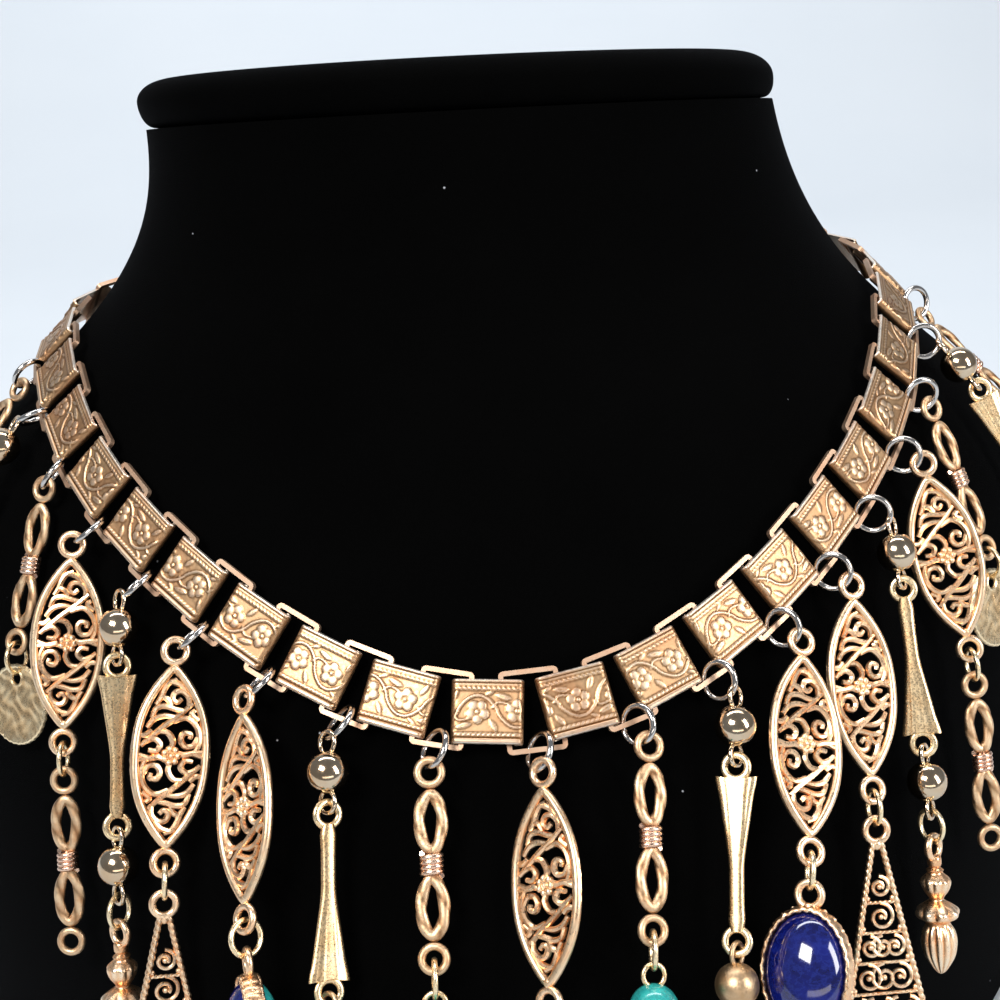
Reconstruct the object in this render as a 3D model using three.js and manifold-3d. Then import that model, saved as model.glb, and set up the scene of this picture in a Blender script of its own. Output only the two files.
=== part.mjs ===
// A bib necklace of hung drops, on the velvet neck bust that holds it.
// Millimetres, +Z up, the chest faces -Y, and the bust stands on Z = 0.
import * as THREE from 'three';
import { mergeVertices } from 'three/addons/utils/BufferGeometryUtils.js';
import Module from 'manifold-3d';

const wasm = await Module();
wasm.setup();
const { Manifold, Mesh } = wasm;

const DEGREE = Math.PI / 180;

// Bust. Depths are measured down from a level that lies this far above the base.
const LEVEL_ZERO = 222;
const NECK_HALF_WIDTH = 60.3;
const NECK_FRONT_REACH = 44.3;
const NECK_BACK_REACH = 30;
const NECK_LEAN = { slope: 0.127, end: 60, softness: 6 };
const CAP_DEPTH = 35.4;
const CAP_THICKNESS = 9;
const CAP_OVERHANG = 1;
const CAP_TILT = 0.13;
const CAP_GAP = 0.3;
const SIDE_FLARE = { slope: 0.79, start: 60.8, end: 103, softness: 9 };
const FRONT_FLARE = { slope: 0.735, start: 67.7, end: 182, softness: 13 };
const BACK_FLARE = { slope: 0.25, start: 60, end: 200, softness: 12 };
const SHOULDER_FLARE = { slope: 0.8, start: 84, end: 119, softness: 7 };
const SHOULDER_SHARPNESS = 6;
const BUST_SIDES = 24;
const BUST_ROW_DEPTHS = [56, 64, 71, 78, 86, 94, 102, 112, 150, 182, 222];

// Collar of plates and rectangular connectors.
const LINK_COUNT = 33;
const COLLAR_STAND_OFF = 2.6;
const COLLAR_FRONT_SHIFT = 0.9;
const COLLAR_LINE = {
  depth: 72.2,
  slopeToFront: 0.643,
  slopeToBack: 0.113,
  slopeToSide: 0.015,
  bendAt: -20.1,
  bendSoftness: 6,
};
const PLATE_HEIGHT = 10.5;
const CONNECTOR = { width: 8.8, height: 12.8, bar: 0.8 };
const SOLDERED = { thickness: 1.0, inset: -0.25 };
const LOOSE = { thickness: 0.6, inset: 0.5, width: 9.8, height: 13.6 };
const LAST_FULL_LINK = 9.5;
const PLAIN_LINK = { width: 12, thickness: 0.9, inset: 0.1 };
const STRAP = { width: 6, thickness: 1.3, height: 4 };
const SOLDER = { thickness: 1.4, height: 3 };
const CLASP_BAR = { width: 1.6, overlap: 0.2 };

// Wire and loop sizes: mean radius of the loop, radius of its wire.
const TOP_RING = { radius: 3.1, wire: 0.52 };
const LOWER_RING = { radius: 2.8, wire: 0.46 };
const CAST_EYE = { radius: 1.8, wire: 0.5 };
const BALL_LOOP = { radius: 1.75, wire: 0.42 };
const RING_SIDES = 10;
const WIRE_SIDES = 5;
const FUSED_OVERLAP = 0.12;
const HOOK_SLACK = 0.72;
const BAR_CLEARANCE = 0.32;

const BALL_RADIUS = 3.5;
const STONE_BEAD_RADIUS = 3.9;
const VELVET_GAP = 0.8;
const RING_VELVET_GAP = 0.5;

// Colours with roughness and metalness.
const GOLD = { colour: 0xc8935a, roughness: 0.35, metalness: 1 };
const PALE_GOLD = { colour: 0xd8b878, roughness: 0.3, metalness: 1 };
const SILVERED = { colour: 0xb9a98c, roughness: 0.15, metalness: 1 };
const DULL_GOLD = { colour: 0x8a6a42, roughness: 0.5, metalness: 1 };
const LAPIS = { colour: 0x0a1566, roughness: 0.15, metalness: 0 };
const TURQUOISE = { colour: 0x1c8f86, roughness: 0.25, metalness: 0 };
const VELVET = { colour: 0x050506, roughness: 1, metalness: 0 };

// Geometry to solid.
function solidOf(geometry) {
  const bare = geometry.index ? geometry.toNonIndexed() : geometry;
  bare.deleteAttribute('normal');
  bare.deleteAttribute('uv');
  const merged = mergeVertices(bare, 1e-4);
  const mesh = new Mesh({
    numProp: 3,
    vertProperties: new Float32Array(merged.attributes.position.array),
    triVerts: new Uint32Array(merged.index.array),
  });
  mesh.merge();
  return new Manifold(mesh);
}

function fuse(solids) {
  return Manifold.union(solids);
}

function nodeOf(name, solid, look) {
  const data = solid.getMesh();
  const geometry = new THREE.BufferGeometry();
  geometry.setAttribute('position', new THREE.BufferAttribute(new Float32Array(data.vertProperties), 3));
  geometry.setIndex(new THREE.BufferAttribute(new Uint32Array(data.triVerts), 1));
  geometry.computeVertexNormals();
  const material = new THREE.MeshStandardMaterial({
    color: look.colour,
    roughness: look.roughness,
    metalness: look.metalness,
  });
  const mesh = new THREE.Mesh(geometry, material);
  mesh.name = name;
  return mesh;
}

// Shapes. Each is made in its own frame: X across, -Y outwards, Z up.
function box(width, thickness, height, centre) {
  return solidOf(new THREE.BoxGeometry(width, thickness, height)).translate(centre);
}

function torus(loop) {
  const geometry = new THREE.TorusGeometry(loop.radius, loop.wire, WIRE_SIDES, RING_SIDES);
  geometry.rotateX(Math.PI / 2);
  return solidOf(geometry);
}

function flatPlate(outline, holes, thickness) {
  const shape = new THREE.Shape(outline.map(([x, z]) => new THREE.Vector2(x, z)));
  for (const hole of holes) {
    shape.holes.push(new THREE.Path(hole.map(([x, z]) => new THREE.Vector2(x, z))));
  }
  const geometry = new THREE.ExtrudeGeometry(shape, { depth: thickness, bevelEnabled: false });
  geometry.translate(0, 0, -thickness / 2);
  geometry.rotateX(Math.PI / 2);
  return solidOf(geometry);
}

function ovalOutline(halfWidth, halfHeight, sides, centreX = 0, centreZ = 0, tilt = 0) {
  const points = [];
  for (let i = 0; i < sides; i += 1) {
    const angle = (i / sides) * 2 * Math.PI;
    const x = halfWidth * Math.cos(angle);
    const z = halfHeight * Math.sin(angle);
    const turn = tilt * DEGREE;
    points.push([
      centreX + x * Math.cos(turn) - z * Math.sin(turn),
      centreZ + x * Math.sin(turn) + z * Math.cos(turn),
    ]);
  }
  return points;
}

// Round eye at a height: the hole, and the outer arc that leaves a gap for the body it grows from.
function eyeHole(centreZ) {
  const clear = CAST_EYE.radius - CAST_EYE.wire;
  return ovalOutline(clear, clear, RING_SIDES, 0, centreZ);
}

function eyeArc(centreZ, below) {
  const outer = CAST_EYE.radius + CAST_EYE.wire;
  const steps = 5;
  const opening = 45;
  const points = [];
  for (let i = 0; i <= steps; i += 1) {
    const angle = (-opening + ((180 + 2 * opening) * i) / steps) * DEGREE;
    const flip = below ? -1 : 1;
    points.push([flip * outer * Math.cos(angle), centreZ + flip * outer * Math.sin(angle)]);
  }
  return points;
}

function flatEye(thickness) {
  const outer = CAST_EYE.radius + CAST_EYE.wire;
  return flatPlate(ovalOutline(outer, outer, RING_SIDES), [eyeHole(0)], thickness);
}

// A flat piece, alike left and right, with a round eye at the top and, if wanted, at the bottom.
// Rows run down the body: half width and height.
function flatPiece(rows, length, hasBottomEye, holes, thickness) {
  const left = rows.map(([halfWidth, z]) => [-halfWidth, z]);
  const right = rows.map(([halfWidth, z]) => [halfWidth, z]).reverse();
  const outline = [...eyeArc(0, false), ...left, ...(hasBottomEye ? eyeArc(-length, true) : []), ...right];
  const eyes = hasBottomEye ? [eyeHole(0), eyeHole(-length)] : [eyeHole(0)];
  return flatPlate(outline, [...eyes, ...holes], thickness);
}

function turned(profile, sides) {
  const points = profile.map(([radius, z]) => new THREE.Vector2(radius, z));
  const geometry = new THREE.LatheGeometry(points, sides);
  geometry.rotateX(Math.PI / 2);
  return solidOf(geometry);
}

// Shares of the radius down a bead, which is flat where its wire comes out.
const BEAD_ROWS = [
  { across: 0, up: -0.94 },
  { across: 0.34, up: -0.94 },
  { across: 0.9, up: -0.48 },
  { across: 1, up: 0 },
  { across: 0.9, up: 0.48 },
  { across: 0.34, up: 0.94 },
  { across: 0, up: 0.94 },
];

function bead(radius, centreZ) {
  return turned(BEAD_ROWS.map((row) => [radius * row.across, centreZ + radius * row.up]), RING_SIDES);
}

// Wire loop that is open on the side where it enters its bead.
function openLoop(centreZ, below) {
  const flip = below ? -1 : 1;
  const reach = 158 * DEGREE;
  const path = new THREE.Curve();
  path.getPoint = (share) => {
    const angle = Math.PI / 2 + flip * (1 - 2 * share) * reach;
    const across = BALL_LOOP.radius * Math.cos(angle);
    return new THREE.Vector3(across, 0, flip * BALL_LOOP.radius * Math.sin(angle));
  };
  const section = new THREE.Shape(ovalOutline(BALL_LOOP.wire, BALL_LOOP.wire, WIRE_SIDES)
    .map(([x, z]) => new THREE.Vector2(x, z)));
  const geometry = new THREE.ExtrudeGeometry(section, { steps: 8, extrudePath: path });
  return solidOf(geometry).translate([0, 0, centreZ]);
}

// Pieces that hang. Each starts at the centre of its top eye, Z = 0, and ends at its bottom eye.
const MARQUISE = { bodyTop: 1.9, bodyLength: 31, halfWidth: 6.6, fullness: 2.4, thickness: 1.5 };
MARQUISE.length = MARQUISE.bodyLength + 2 * MARQUISE.bodyTop;

// Openings of the filigree: centre and half sizes, with the lean of each.
const MARQUISE_OPENINGS = [
  { x: 0, z: 9, halfWidth: 1.7, halfHeight: 3.2, lean: 0 },
  { x: -2.9, z: 3.1, halfWidth: 1.7, halfHeight: 2.6, lean: -14 },
  { x: 2.9, z: 3.1, halfWidth: 1.7, halfHeight: 2.6, lean: 14 },
  { x: -2.9, z: -3.1, halfWidth: 1.7, halfHeight: 2.6, lean: 14 },
  { x: 2.9, z: -3.1, halfWidth: 1.7, halfHeight: 2.6, lean: -14 },
  { x: 0, z: -9, halfWidth: 1.7, halfHeight: 3.2, lean: 0 },
];
const OPENING_SIDES = 4;
const MARQUISE_ROW_SHARES = [0.88, 0.5, 0, -0.5, -0.88];

function marquise() {
  const middle = -MARQUISE.length / 2;
  const half = MARQUISE.bodyLength / 2;
  const rows = MARQUISE_ROW_SHARES.map((share) => [
    MARQUISE.halfWidth * (1 - Math.abs(share) ** MARQUISE.fullness),
    middle + half * share,
  ]);
  const holes = MARQUISE_OPENINGS.map((opening) => ovalOutline(
    opening.halfWidth, opening.halfHeight, OPENING_SIDES, opening.x, middle + opening.z, opening.lean,
  ));
  return flatPiece(rows, MARQUISE.length, true, holes, MARQUISE.thickness);
}

const TWIST = { length: 28.5, eyeOffset: 6.7, halfWidth: 2.9, thickness: 1.5 };
const TWIST_ROWS = [
  { halfWidth: 1.1, z: 11.8 },
  { halfWidth: 2.9, z: 7.8 },
  { halfWidth: 2.9, z: 5.2 },
  { halfWidth: 1.9, z: 1.8 },
  { halfWidth: 1.9, z: -1.8 },
  { halfWidth: 2.9, z: -5.2 },
  { halfWidth: 2.9, z: -7.8 },
  { halfWidth: 1.1, z: -11.8 },
];

// A link of two long eyes with a coil of wire round its middle and a small eye at each end.
function twistedLink() {
  const middle = -TWIST.length / 2;
  const longHole = (side) => ovalOutline(1.5, 3.2, 6, 0, middle + side * TWIST.eyeOffset);
  const rows = TWIST_ROWS.map((row) => [row.halfWidth, middle + row.z]);
  return flatPiece(rows, TWIST.length, true, [longHole(1), longHole(-1)], TWIST.thickness);
}

const BALL_LINK = { loopToBall: 4.7 };
BALL_LINK.length = 2 * BALL_LINK.loopToBall;

function ballLink() {
  return fuse([
    openLoop(0, false),
    bead(BALL_RADIUS, -BALL_LINK.loopToBall),
    openLoop(-BALL_LINK.length, true),
  ]);
}

function endBead(radius) {
  return fuse([openLoop(0, false), bead(radius, -(0.94 * radius + 0.8 * BALL_LOOP.radius))]);
}

const FAN = { length: 27.2, thickness: 1.0, eyeGap: 1.8 };

const FAN_ROWS = [
  { halfWidth: 1.7, along: 0.06 },
  { halfWidth: 1.35, along: 0.45 },
  { halfWidth: 1.5, along: 0.62 },
  { halfWidth: 3.2, along: 0.93 },
  { halfWidth: 2.2, along: 1 },
];

// A bar that narrows to a waist and opens to a fluted fan at its top or its bottom end.
function fanBar(fanUp) {
  const reach = FAN.length - 2 * FAN.eyeGap;
  const rows = FAN_ROWS.map((row) => [
    row.halfWidth,
    fanUp ? -FAN.length + FAN.eyeGap + row.along * reach : -FAN.eyeGap - row.along * reach,
  ]);
  if (fanUp) {
    rows.reverse();
  }
  return flatPiece(rows, FAN.length, true, [], FAN.thickness);
}

const CABOCHON = {
  settingHalfWidth: 7.6,
  settingHalfHeight: 10.2,
  rimDepth: 3,
  stoneHalfWidth: 6.6,
  stoneHalfHeight: 9.1,
  stoneHalfDepth: 4.6,
  drop: 11.7,
};

// Two domed stones back to back in one oval bezel.
function cabochon() {
  const stone = solidOf(new THREE.SphereGeometry(1, 10, 6).rotateX(Math.PI / 2))
    .scale([CABOCHON.stoneHalfWidth, CABOCHON.stoneHalfDepth, CABOCHON.stoneHalfHeight])
    .translate([0, 0, -CABOCHON.drop]);
  const outline = ovalOutline(CABOCHON.settingHalfWidth, CABOCHON.settingHalfHeight, 14, 0, -CABOCHON.drop);
  return fuse([stone, flatPlate(outline, [], CABOCHON.rimDepth), flatEye(1.2)]);
}

const TRIANGLE = { top: 2, length: 33, topHalfWidth: 1, bottomHalfWidth: 8.2, thickness: 1.3 };
const TRIANGLE_ROWS = [
  { depth: 0.3, halfHeight: 3, openings: 1 },
  { depth: 0.52, halfHeight: 2.7, openings: 2 },
  { depth: 0.7, halfHeight: 2.3, openings: 2 },
  { depth: 0.88, halfHeight: 2.3, openings: 3 },
];

function triangle() {
  const bottom = -(TRIANGLE.top + TRIANGLE.length);
  const rows = [[TRIANGLE.topHalfWidth, -TRIANGLE.top], [TRIANGLE.bottomHalfWidth, bottom]];
  const holes = [];
  for (const row of TRIANGLE_ROWS) {
    const inner = row.depth * TRIANGLE.bottomHalfWidth - 0.7;
    const halfWidth = inner / row.openings - 0.35;
    for (let i = 0; i < row.openings; i += 1) {
      const x = -inner + (2 * i + 1) * (inner / row.openings);
      const z = -TRIANGLE.top - row.depth * TRIANGLE.length;
      holes.push(ovalOutline(halfWidth, row.halfHeight, OPENING_SIDES, x, z));
    }
  }
  return flatPiece(rows, 0, false, holes, TRIANGLE.thickness);
}

// Half profile of the cast baluster below its eye.
const BALUSTER_PROFILE = [
  { radius: 0, depth: 1.6 },
  { radius: 1.2, depth: 1.6 },
  { radius: 1.2, depth: 3.4 },
  { radius: 2.6, depth: 6 },
  { radius: 1.5, depth: 9 },
  { radius: 3.9, depth: 11.6 },
  { radius: 2.2, depth: 13.2 },
  { radius: 3.1, depth: 17.5 },
  { radius: 0, depth: 22.6 },
];

function baluster() {
  const profile = BALUSTER_PROFILE.map((row) => [row.radius, -row.depth]).reverse();
  return fuse([turned(profile, RING_SIDES), flatEye(1.2)]);
}

const DISC = { radius: 7.2, thickness: 0.9, holeRadius: 1.3, holeInset: 1.1 };

function disc() {
  const centreZ = -(DISC.radius - DISC.holeInset - DISC.holeRadius);
  return flatPlate(
    ovalOutline(DISC.radius, DISC.radius, 12, 0, centreZ),
    [ovalOutline(DISC.holeRadius, DISC.holeRadius, 8)],
    DISC.thickness,
  );
}

// What each piece measures for hanging: length from eye to eye, clear radius of its eyes,
// and half width and half depth of its body.
const EYE_CLEAR = CAST_EYE.radius - CAST_EYE.wire;
const LOOP_CLEAR = BALL_LOOP.radius - BALL_LOOP.wire;
const PIECES = {
  marquise: {
    make: marquise,
    length: MARQUISE.length,
    top: EYE_CLEAR,
    bottom: EYE_CLEAR,
    halfWidth: MARQUISE.halfWidth,
    halfDepth: 0.8,
    look: GOLD,
  },
  twist: {
    make: twistedLink,
    length: TWIST.length,
    top: EYE_CLEAR,
    bottom: EYE_CLEAR,
    halfWidth: TWIST.halfWidth,
    halfDepth: 1,
    look: GOLD,
  },
  ball: {
    make: ballLink,
    length: BALL_LINK.length,
    top: LOOP_CLEAR,
    bottom: LOOP_CLEAR,
    halfWidth: BALL_RADIUS,
    halfDepth: BALL_RADIUS,
    look: SILVERED,
  },
  bead: {
    make: () => endBead(STONE_BEAD_RADIUS),
    length: 5.2,
    top: LOOP_CLEAR,
    bottom: 0,
    halfWidth: STONE_BEAD_RADIUS,
    halfDepth: STONE_BEAD_RADIUS,
    look: TURQUOISE,
  },
  endball: {
    make: () => endBead(BALL_RADIUS),
    length: 4.8,
    top: LOOP_CLEAR,
    bottom: 0,
    halfWidth: BALL_RADIUS,
    halfDepth: BALL_RADIUS,
    look: DULL_GOLD,
  },
  fan: {
    make: () => fanBar(false),
    length: FAN.length,
    top: EYE_CLEAR,
    bottom: EYE_CLEAR,
    halfWidth: 3.3,
    halfDepth: 0.6,
    look: PALE_GOLD,
  },
  fanup: {
    make: () => fanBar(true),
    length: FAN.length,
    top: EYE_CLEAR,
    bottom: EYE_CLEAR,
    halfWidth: 3.3,
    halfDepth: 0.6,
    look: PALE_GOLD,
  },
  cabochon: {
    make: cabochon,
    length: 20,
    top: EYE_CLEAR,
    bottom: 0,
    halfWidth: CABOCHON.settingHalfWidth,
    halfDepth: CABOCHON.stoneHalfDepth,
    look: LAPIS,
  },
  triangle: {
    make: triangle,
    length: TRIANGLE.length,
    top: EYE_CLEAR,
    bottom: 0,
    halfWidth: TRIANGLE.bottomHalfWidth,
    halfDepth: 0.7,
    look: GOLD,
  },
  baluster: {
    make: baluster,
    length: 21,
    top: EYE_CLEAR,
    bottom: 0,
    halfWidth: 3.9,
    halfDepth: 3.9,
    look: GOLD,
  },
  disc: {
    make: disc,
    length: 13,
    top: DISC.holeRadius,
    bottom: 0,
    halfWidth: DISC.radius,
    halfDepth: 0.5,
    look: PALE_GOLD,
  },
};

// The drops, by connector counted from the front centre, left is negative.
// A turn is the angle of the flat side from lying flat on the chest, positive to the right.
// Lean is the sideways sway in mm for each mm down.
// A ring entry is the turn of the ring that the piece starts with.
const DROPS = [
  { at: 0, lean: -0.05, chain: [{ piece: 'marquise', turn: -36 }] },
  {
    at: -1,
    lean: -0.03,
    chain: [
      { piece: 'twist', turn: 2 },
      { piece: 'bead', turn: 0, ring: -80 },
    ],
  },
  {
    at: 1,
    lean: -0.08,
    chain: [
      { piece: 'twist', turn: 0 },
      { piece: 'bead', turn: 0, ring: 80 },
    ],
  },
  {
    at: -2,
    lean: -0.03,
    chain: [{ piece: 'ball', turn: -26 }, { piece: 'fan', turn: 34 }, { piece: 'endball', turn: -30 }],
  },
  {
    at: 2,
    lean: -0.12,
    chain: [{ piece: 'ball', turn: 26 }, { piece: 'fanup', turn: -34 }, { piece: 'endball', turn: 30 }],
  },
  {
    at: -3,
    lean: 0.05,
    chain: [
      { piece: 'marquise', turn: -15 },
      { piece: 'cabochon', turn: -52, ring: 60 },
    ],
  },
  {
    at: 3,
    lean: -0.19,
    chain: [
      { piece: 'marquise', turn: -13 },
      { piece: 'cabochon', turn: -52, ring: 64 },
    ],
  },
  {
    at: -4,
    lean: -0.055,
    chain: [
      { piece: 'marquise', turn: 42 },
      { piece: 'triangle', turn: 38, ring: -52 },
    ],
  },
  {
    at: 4,
    lean: -0.04,
    chain: [
      { piece: 'marquise', turn: -14 },
      { piece: 'triangle', turn: -24, ring: 70 },
    ],
  },
  {
    at: -5,
    lean: -0.02,
    chain: [
      { piece: 'ball', turn: -20 },
      { piece: 'fanup', turn: 46 },
      { piece: 'ball', turn: -20 },
      { piece: 'baluster', turn: -10, ring: -85 },
    ],
  },
  {
    at: 5,
    lean: 0,
    chain: [
      { piece: 'ball', turn: 20 },
      { piece: 'fan', turn: -46 },
      { piece: 'ball', turn: 20 },
      { piece: 'baluster', turn: 10, ring: 85 },
    ],
  },
  {
    at: -6,
    lean: -0.01,
    chain: [
      { piece: 'marquise', turn: 34 },
      { piece: 'twist', turn: 28, ring: -58 },
    ],
  },
  {
    at: 6,
    lean: 0.06,
    chain: [
      { piece: 'marquise', turn: -38 },
      { piece: 'twist', turn: -30, ring: 56 },
    ],
  },
  { at: -7, lean: 0, chain: [{ piece: 'twist', turn: 10 }, { piece: 'disc', turn: 8, ring: -76 }] },
  { at: 7, lean: 0, chain: [{ piece: 'twist', turn: -10 }, { piece: 'disc', turn: -8, ring: 76 }] },
  { at: -8, lean: 0, chain: [{ piece: 'ball', turn: -20 }, { piece: 'fanup', turn: 44 }] },
  { at: 8, lean: 0, chain: [{ piece: 'ball', turn: 20 }, { piece: 'fanup', turn: -44 }] },
  { at: -9, lean: 0, chain: [{ piece: 'twist', turn: 8 }] },
  { at: 9, lean: 0, chain: [{ piece: 'twist', turn: -8 }] },
];

// Surface of the bust.
function soft(x, softness) {
  return softness * Math.log(1 + Math.exp(x / softness));
}

function flare(depth, part) {
  return part.slope * (soft(depth - part.start, part.softness) - soft(depth - part.end, part.softness));
}

function bustPoint(turn, depth, outset = 0) {
  const side = Math.sin(turn);
  const ahead = Math.cos(turn);
  const shoulder = flare(depth, SHOULDER_FLARE) * Math.abs(side) ** SHOULDER_SHARPNESS;
  const halfWidth = NECK_HALF_WIDTH + flare(depth, SIDE_FLARE) + shoulder + outset;
  const reach = ahead > 0
    ? NECK_FRONT_REACH + flare(depth, FRONT_FLARE)
    : NECK_BACK_REACH + flare(depth, BACK_FLARE);
  const lean = NECK_LEAN.slope * soft(NECK_LEAN.end - depth, NECK_LEAN.softness);
  return new THREE.Vector3(halfWidth * side - lean, -(reach + outset) * ahead, LEVEL_ZERO - depth);
}

function bustNormal(turn, depth) {
  const step = 0.002;
  const around = bustPoint(turn + step, depth).sub(bustPoint(turn - step, depth));
  const down = bustPoint(turn, depth + step).sub(bustPoint(turn, depth - step));
  const normal = new THREE.Vector3().crossVectors(down, around).normalize();
  const outward = normal.x * Math.sin(turn) - normal.y * Math.cos(turn);
  return outward < 0 ? normal.negate() : normal;
}

// Small steps for slopes, in radians and in mm.
const TURN_STEP = 0.001;
const DEPTH_STEP = 0.1;

// The turn and depth of the place on the bust that lies behind a point,
// and how far the point stands off it.
function footOf(point) {
  let turn = Math.atan2(point.x, -point.y);
  let depth = LEVEL_ZERO - point.z;
  for (let i = 0; i < 12; i += 1) {
    const foot = bustPoint(turn, depth);
    const out = bustNormal(turn, depth);
    const standOff = point.clone().sub(foot).dot(out);
    const missed = point.clone().addScaledVector(out, -standOff).sub(foot);
    const around = bustPoint(turn + TURN_STEP, depth).sub(foot).divideScalar(TURN_STEP);
    const down = bustPoint(turn, depth + DEPTH_STEP).sub(foot).divideScalar(DEPTH_STEP);
    const aroundSquared = around.dot(around);
    const downSquared = down.dot(down);
    const shared = around.dot(down);
    const determinant = aroundSquared * downSquared - shared * shared;
    turn += (missed.dot(around) * downSquared - missed.dot(down) * shared) / determinant;
    depth += (missed.dot(down) * aroundSquared - missed.dot(around) * shared) / determinant;
  }
  const standOff = point.clone().sub(bustPoint(turn, depth)).dot(bustNormal(turn, depth));
  return { turn, depth, standOff };
}

// Depth of the collar over a place: it falls to the front and runs nearly level behind the neck.
function collarDepth(point) {
  const bend = (COLLAR_LINE.slopeToFront - COLLAR_LINE.slopeToBack)
    * soft(point.y - COLLAR_LINE.bendAt, COLLAR_LINE.bendSoftness);
  return COLLAR_LINE.depth - COLLAR_LINE.slopeToFront * point.y + bend - COLLAR_LINE.slopeToSide * point.x;
}

// Collar curve, even steps of arc from the front centre.
function collarCurve() {
  const steps = 480;
  const spots = [];
  for (let i = 0; i <= steps; i += 1) {
    const turn = -Math.PI + (2 * Math.PI * i) / steps;
    let high = CAP_DEPTH + CAP_THICKNESS;
    let low = LEVEL_ZERO;
    for (let pass = 0; pass < 40; pass += 1) {
      const depth = (high + low) / 2;
      if (depth > collarDepth(bustPoint(turn, depth))) {
        low = depth;
      } else {
        high = depth;
      }
    }
    const depth = (high + low) / 2;
    const point = bustPoint(turn, depth).addScaledVector(bustNormal(turn, depth), COLLAR_STAND_OFF);
    spots.push({ turn, depth, point, arc: 0 });
  }
  for (let i = 1; i <= steps; i += 1) {
    spots[i].arc = spots[i - 1].arc + spots[i].point.distanceTo(spots[i - 1].point);
  }
  const middle = spots[steps / 2].arc;
  spots.forEach((spot) => { spot.arc -= middle; });
  return spots;
}

const COLLAR = collarCurve();
const COLLAR_LENGTH = COLLAR[COLLAR.length - 1].arc - COLLAR[0].arc;
const PITCH = COLLAR_LENGTH / LINK_COUNT;

function collarSpot(count) {
  let arc = count * PITCH + COLLAR_FRONT_SHIFT;
  if (arc > COLLAR[COLLAR.length - 1].arc) {
    arc -= COLLAR_LENGTH;
  }
  if (arc < COLLAR[0].arc) {
    arc += COLLAR_LENGTH;
  }
  let i = 1;
  while (COLLAR[i].arc < arc) {
    i += 1;
  }
  const share = (arc - COLLAR[i - 1].arc) / (COLLAR[i].arc - COLLAR[i - 1].arc);
  const turn = COLLAR[i - 1].turn + share * (COLLAR[i].turn - COLLAR[i - 1].turn);
  const depth = COLLAR[i - 1].depth + share * (COLLAR[i].depth - COLLAR[i - 1].depth);
  const point = COLLAR[i - 1].point.clone().lerp(COLLAR[i].point, share);
  return { turn, depth, point };
}

// Right-handed frame at a link: across along the collar, outwards, and up the bust.
function linkMatrix(count) {
  const spot = collarSpot(count);
  const across = collarSpot(count + 0.3).point.sub(collarSpot(count - 0.3).point).normalize();
  const out = bustNormal(spot.turn, spot.depth);
  const inward = out.clone().addScaledVector(across, -out.dot(across)).normalize().negate();
  const up = new THREE.Vector3().crossVectors(across, inward);
  return new THREE.Matrix4().makeBasis(across, inward, up).setPosition(spot.point);
}

// Section of a plate, seen from above: x across, out away from the neck.
const PLATE_SECTION = [
  { x: -6, out: -1.1 },
  { x: -4.3, out: 1.25 },
  { x: 4.3, out: 1.25 },
  { x: 6, out: -1.1 },
  { x: 5.2, out: -1.1 },
  { x: 3.95, out: 0.6 },
  { x: -3.95, out: 0.6 },
  { x: -5.2, out: -1.1 },
];

function plate() {
  const shape = new THREE.Shape(PLATE_SECTION.map((spot) => new THREE.Vector2(spot.x, -spot.out)));
  const geometry = new THREE.ExtrudeGeometry(shape, { depth: PLATE_HEIGHT, bevelEnabled: false });
  geometry.translate(0, 0, -PLATE_HEIGHT / 2);
  return solidOf(geometry);
}

// The stretch behind the neck: plain plates with a strap between each two.
function plainPlate() {
  return box(PLAIN_LINK.width, PLAIN_LINK.thickness, PLATE_HEIGHT, [0, PLAIN_LINK.inset, 0]);
}

function plainStrap() {
  return box(STRAP.width, STRAP.thickness, STRAP.height, [0, PLAIN_LINK.inset, 0]);
}

// Rectangular link. A soldered one is thick enough to meet its two plates from behind,
// and a loose one is thinner.
function connector(thickness, inset, width, height) {
  const halfWidth = width / 2;
  const halfHeight = height / 2;
  const bar = CONNECTOR.bar;
  const frame = (x, z) => [[-x, -z], [x, -z], [x, z], [-x, z]];
  return flatPlate(frame(halfWidth, halfHeight), [frame(halfWidth - bar, halfHeight - bar)], thickness)
    .translate([0, inset, 0]);
}

function solderedConnector() {
  return connector(SOLDERED.thickness, SOLDERED.inset, CONNECTOR.width, CONNECTOR.height);
}

function looseConnector() {
  return connector(LOOSE.thickness, LOOSE.inset, LOOSE.width, LOOSE.height);
}

function placed(solid, matrix) {
  return solid.transform(matrix.elements);
}

function collarHalf(side) {
  const solids = [];
  const plates = side > 0 ? Math.ceil(LINK_COUNT / 2) : Math.floor(LINK_COUNT / 2);
  for (let i = 0; i < plates; i += 1) {
    const isFull = i + 0.5 <= LAST_FULL_LINK || i === plates - 1;
    solids.push(placed(isFull ? plate() : plainPlate(), linkMatrix(side * (i + 0.5))));
  }
  for (let i = 1; i < plates; i += 1) {
    const link = i < LAST_FULL_LINK ? solderedConnector() : plainStrap();
    solids.push(placed(link, linkMatrix(side * i)));
  }
  if (side > 0) {
    const spot = [(LOOSE.width - CONNECTOR.bar) / 2, 0, 0];
    const solder = box(CONNECTOR.bar, SOLDER.thickness, SOLDER.height, spot);
    solids.push(placed(looseConnector().add(solder), linkMatrix(0)));
  }
  return fuse(solids);
}

// The plain fastening at the nape: a loose link with a bar down its middle.
function clasp() {
  const height = LOOSE.height - 2 * (CONNECTOR.bar - CLASP_BAR.overlap);
  const bar = box(CLASP_BAR.width, CLASP_BAR.width, height, [0, LOOSE.inset, 0]);
  return placed(looseConnector().add(bar), linkMatrix(-Math.floor(LINK_COUNT / 2)));
}

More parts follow.
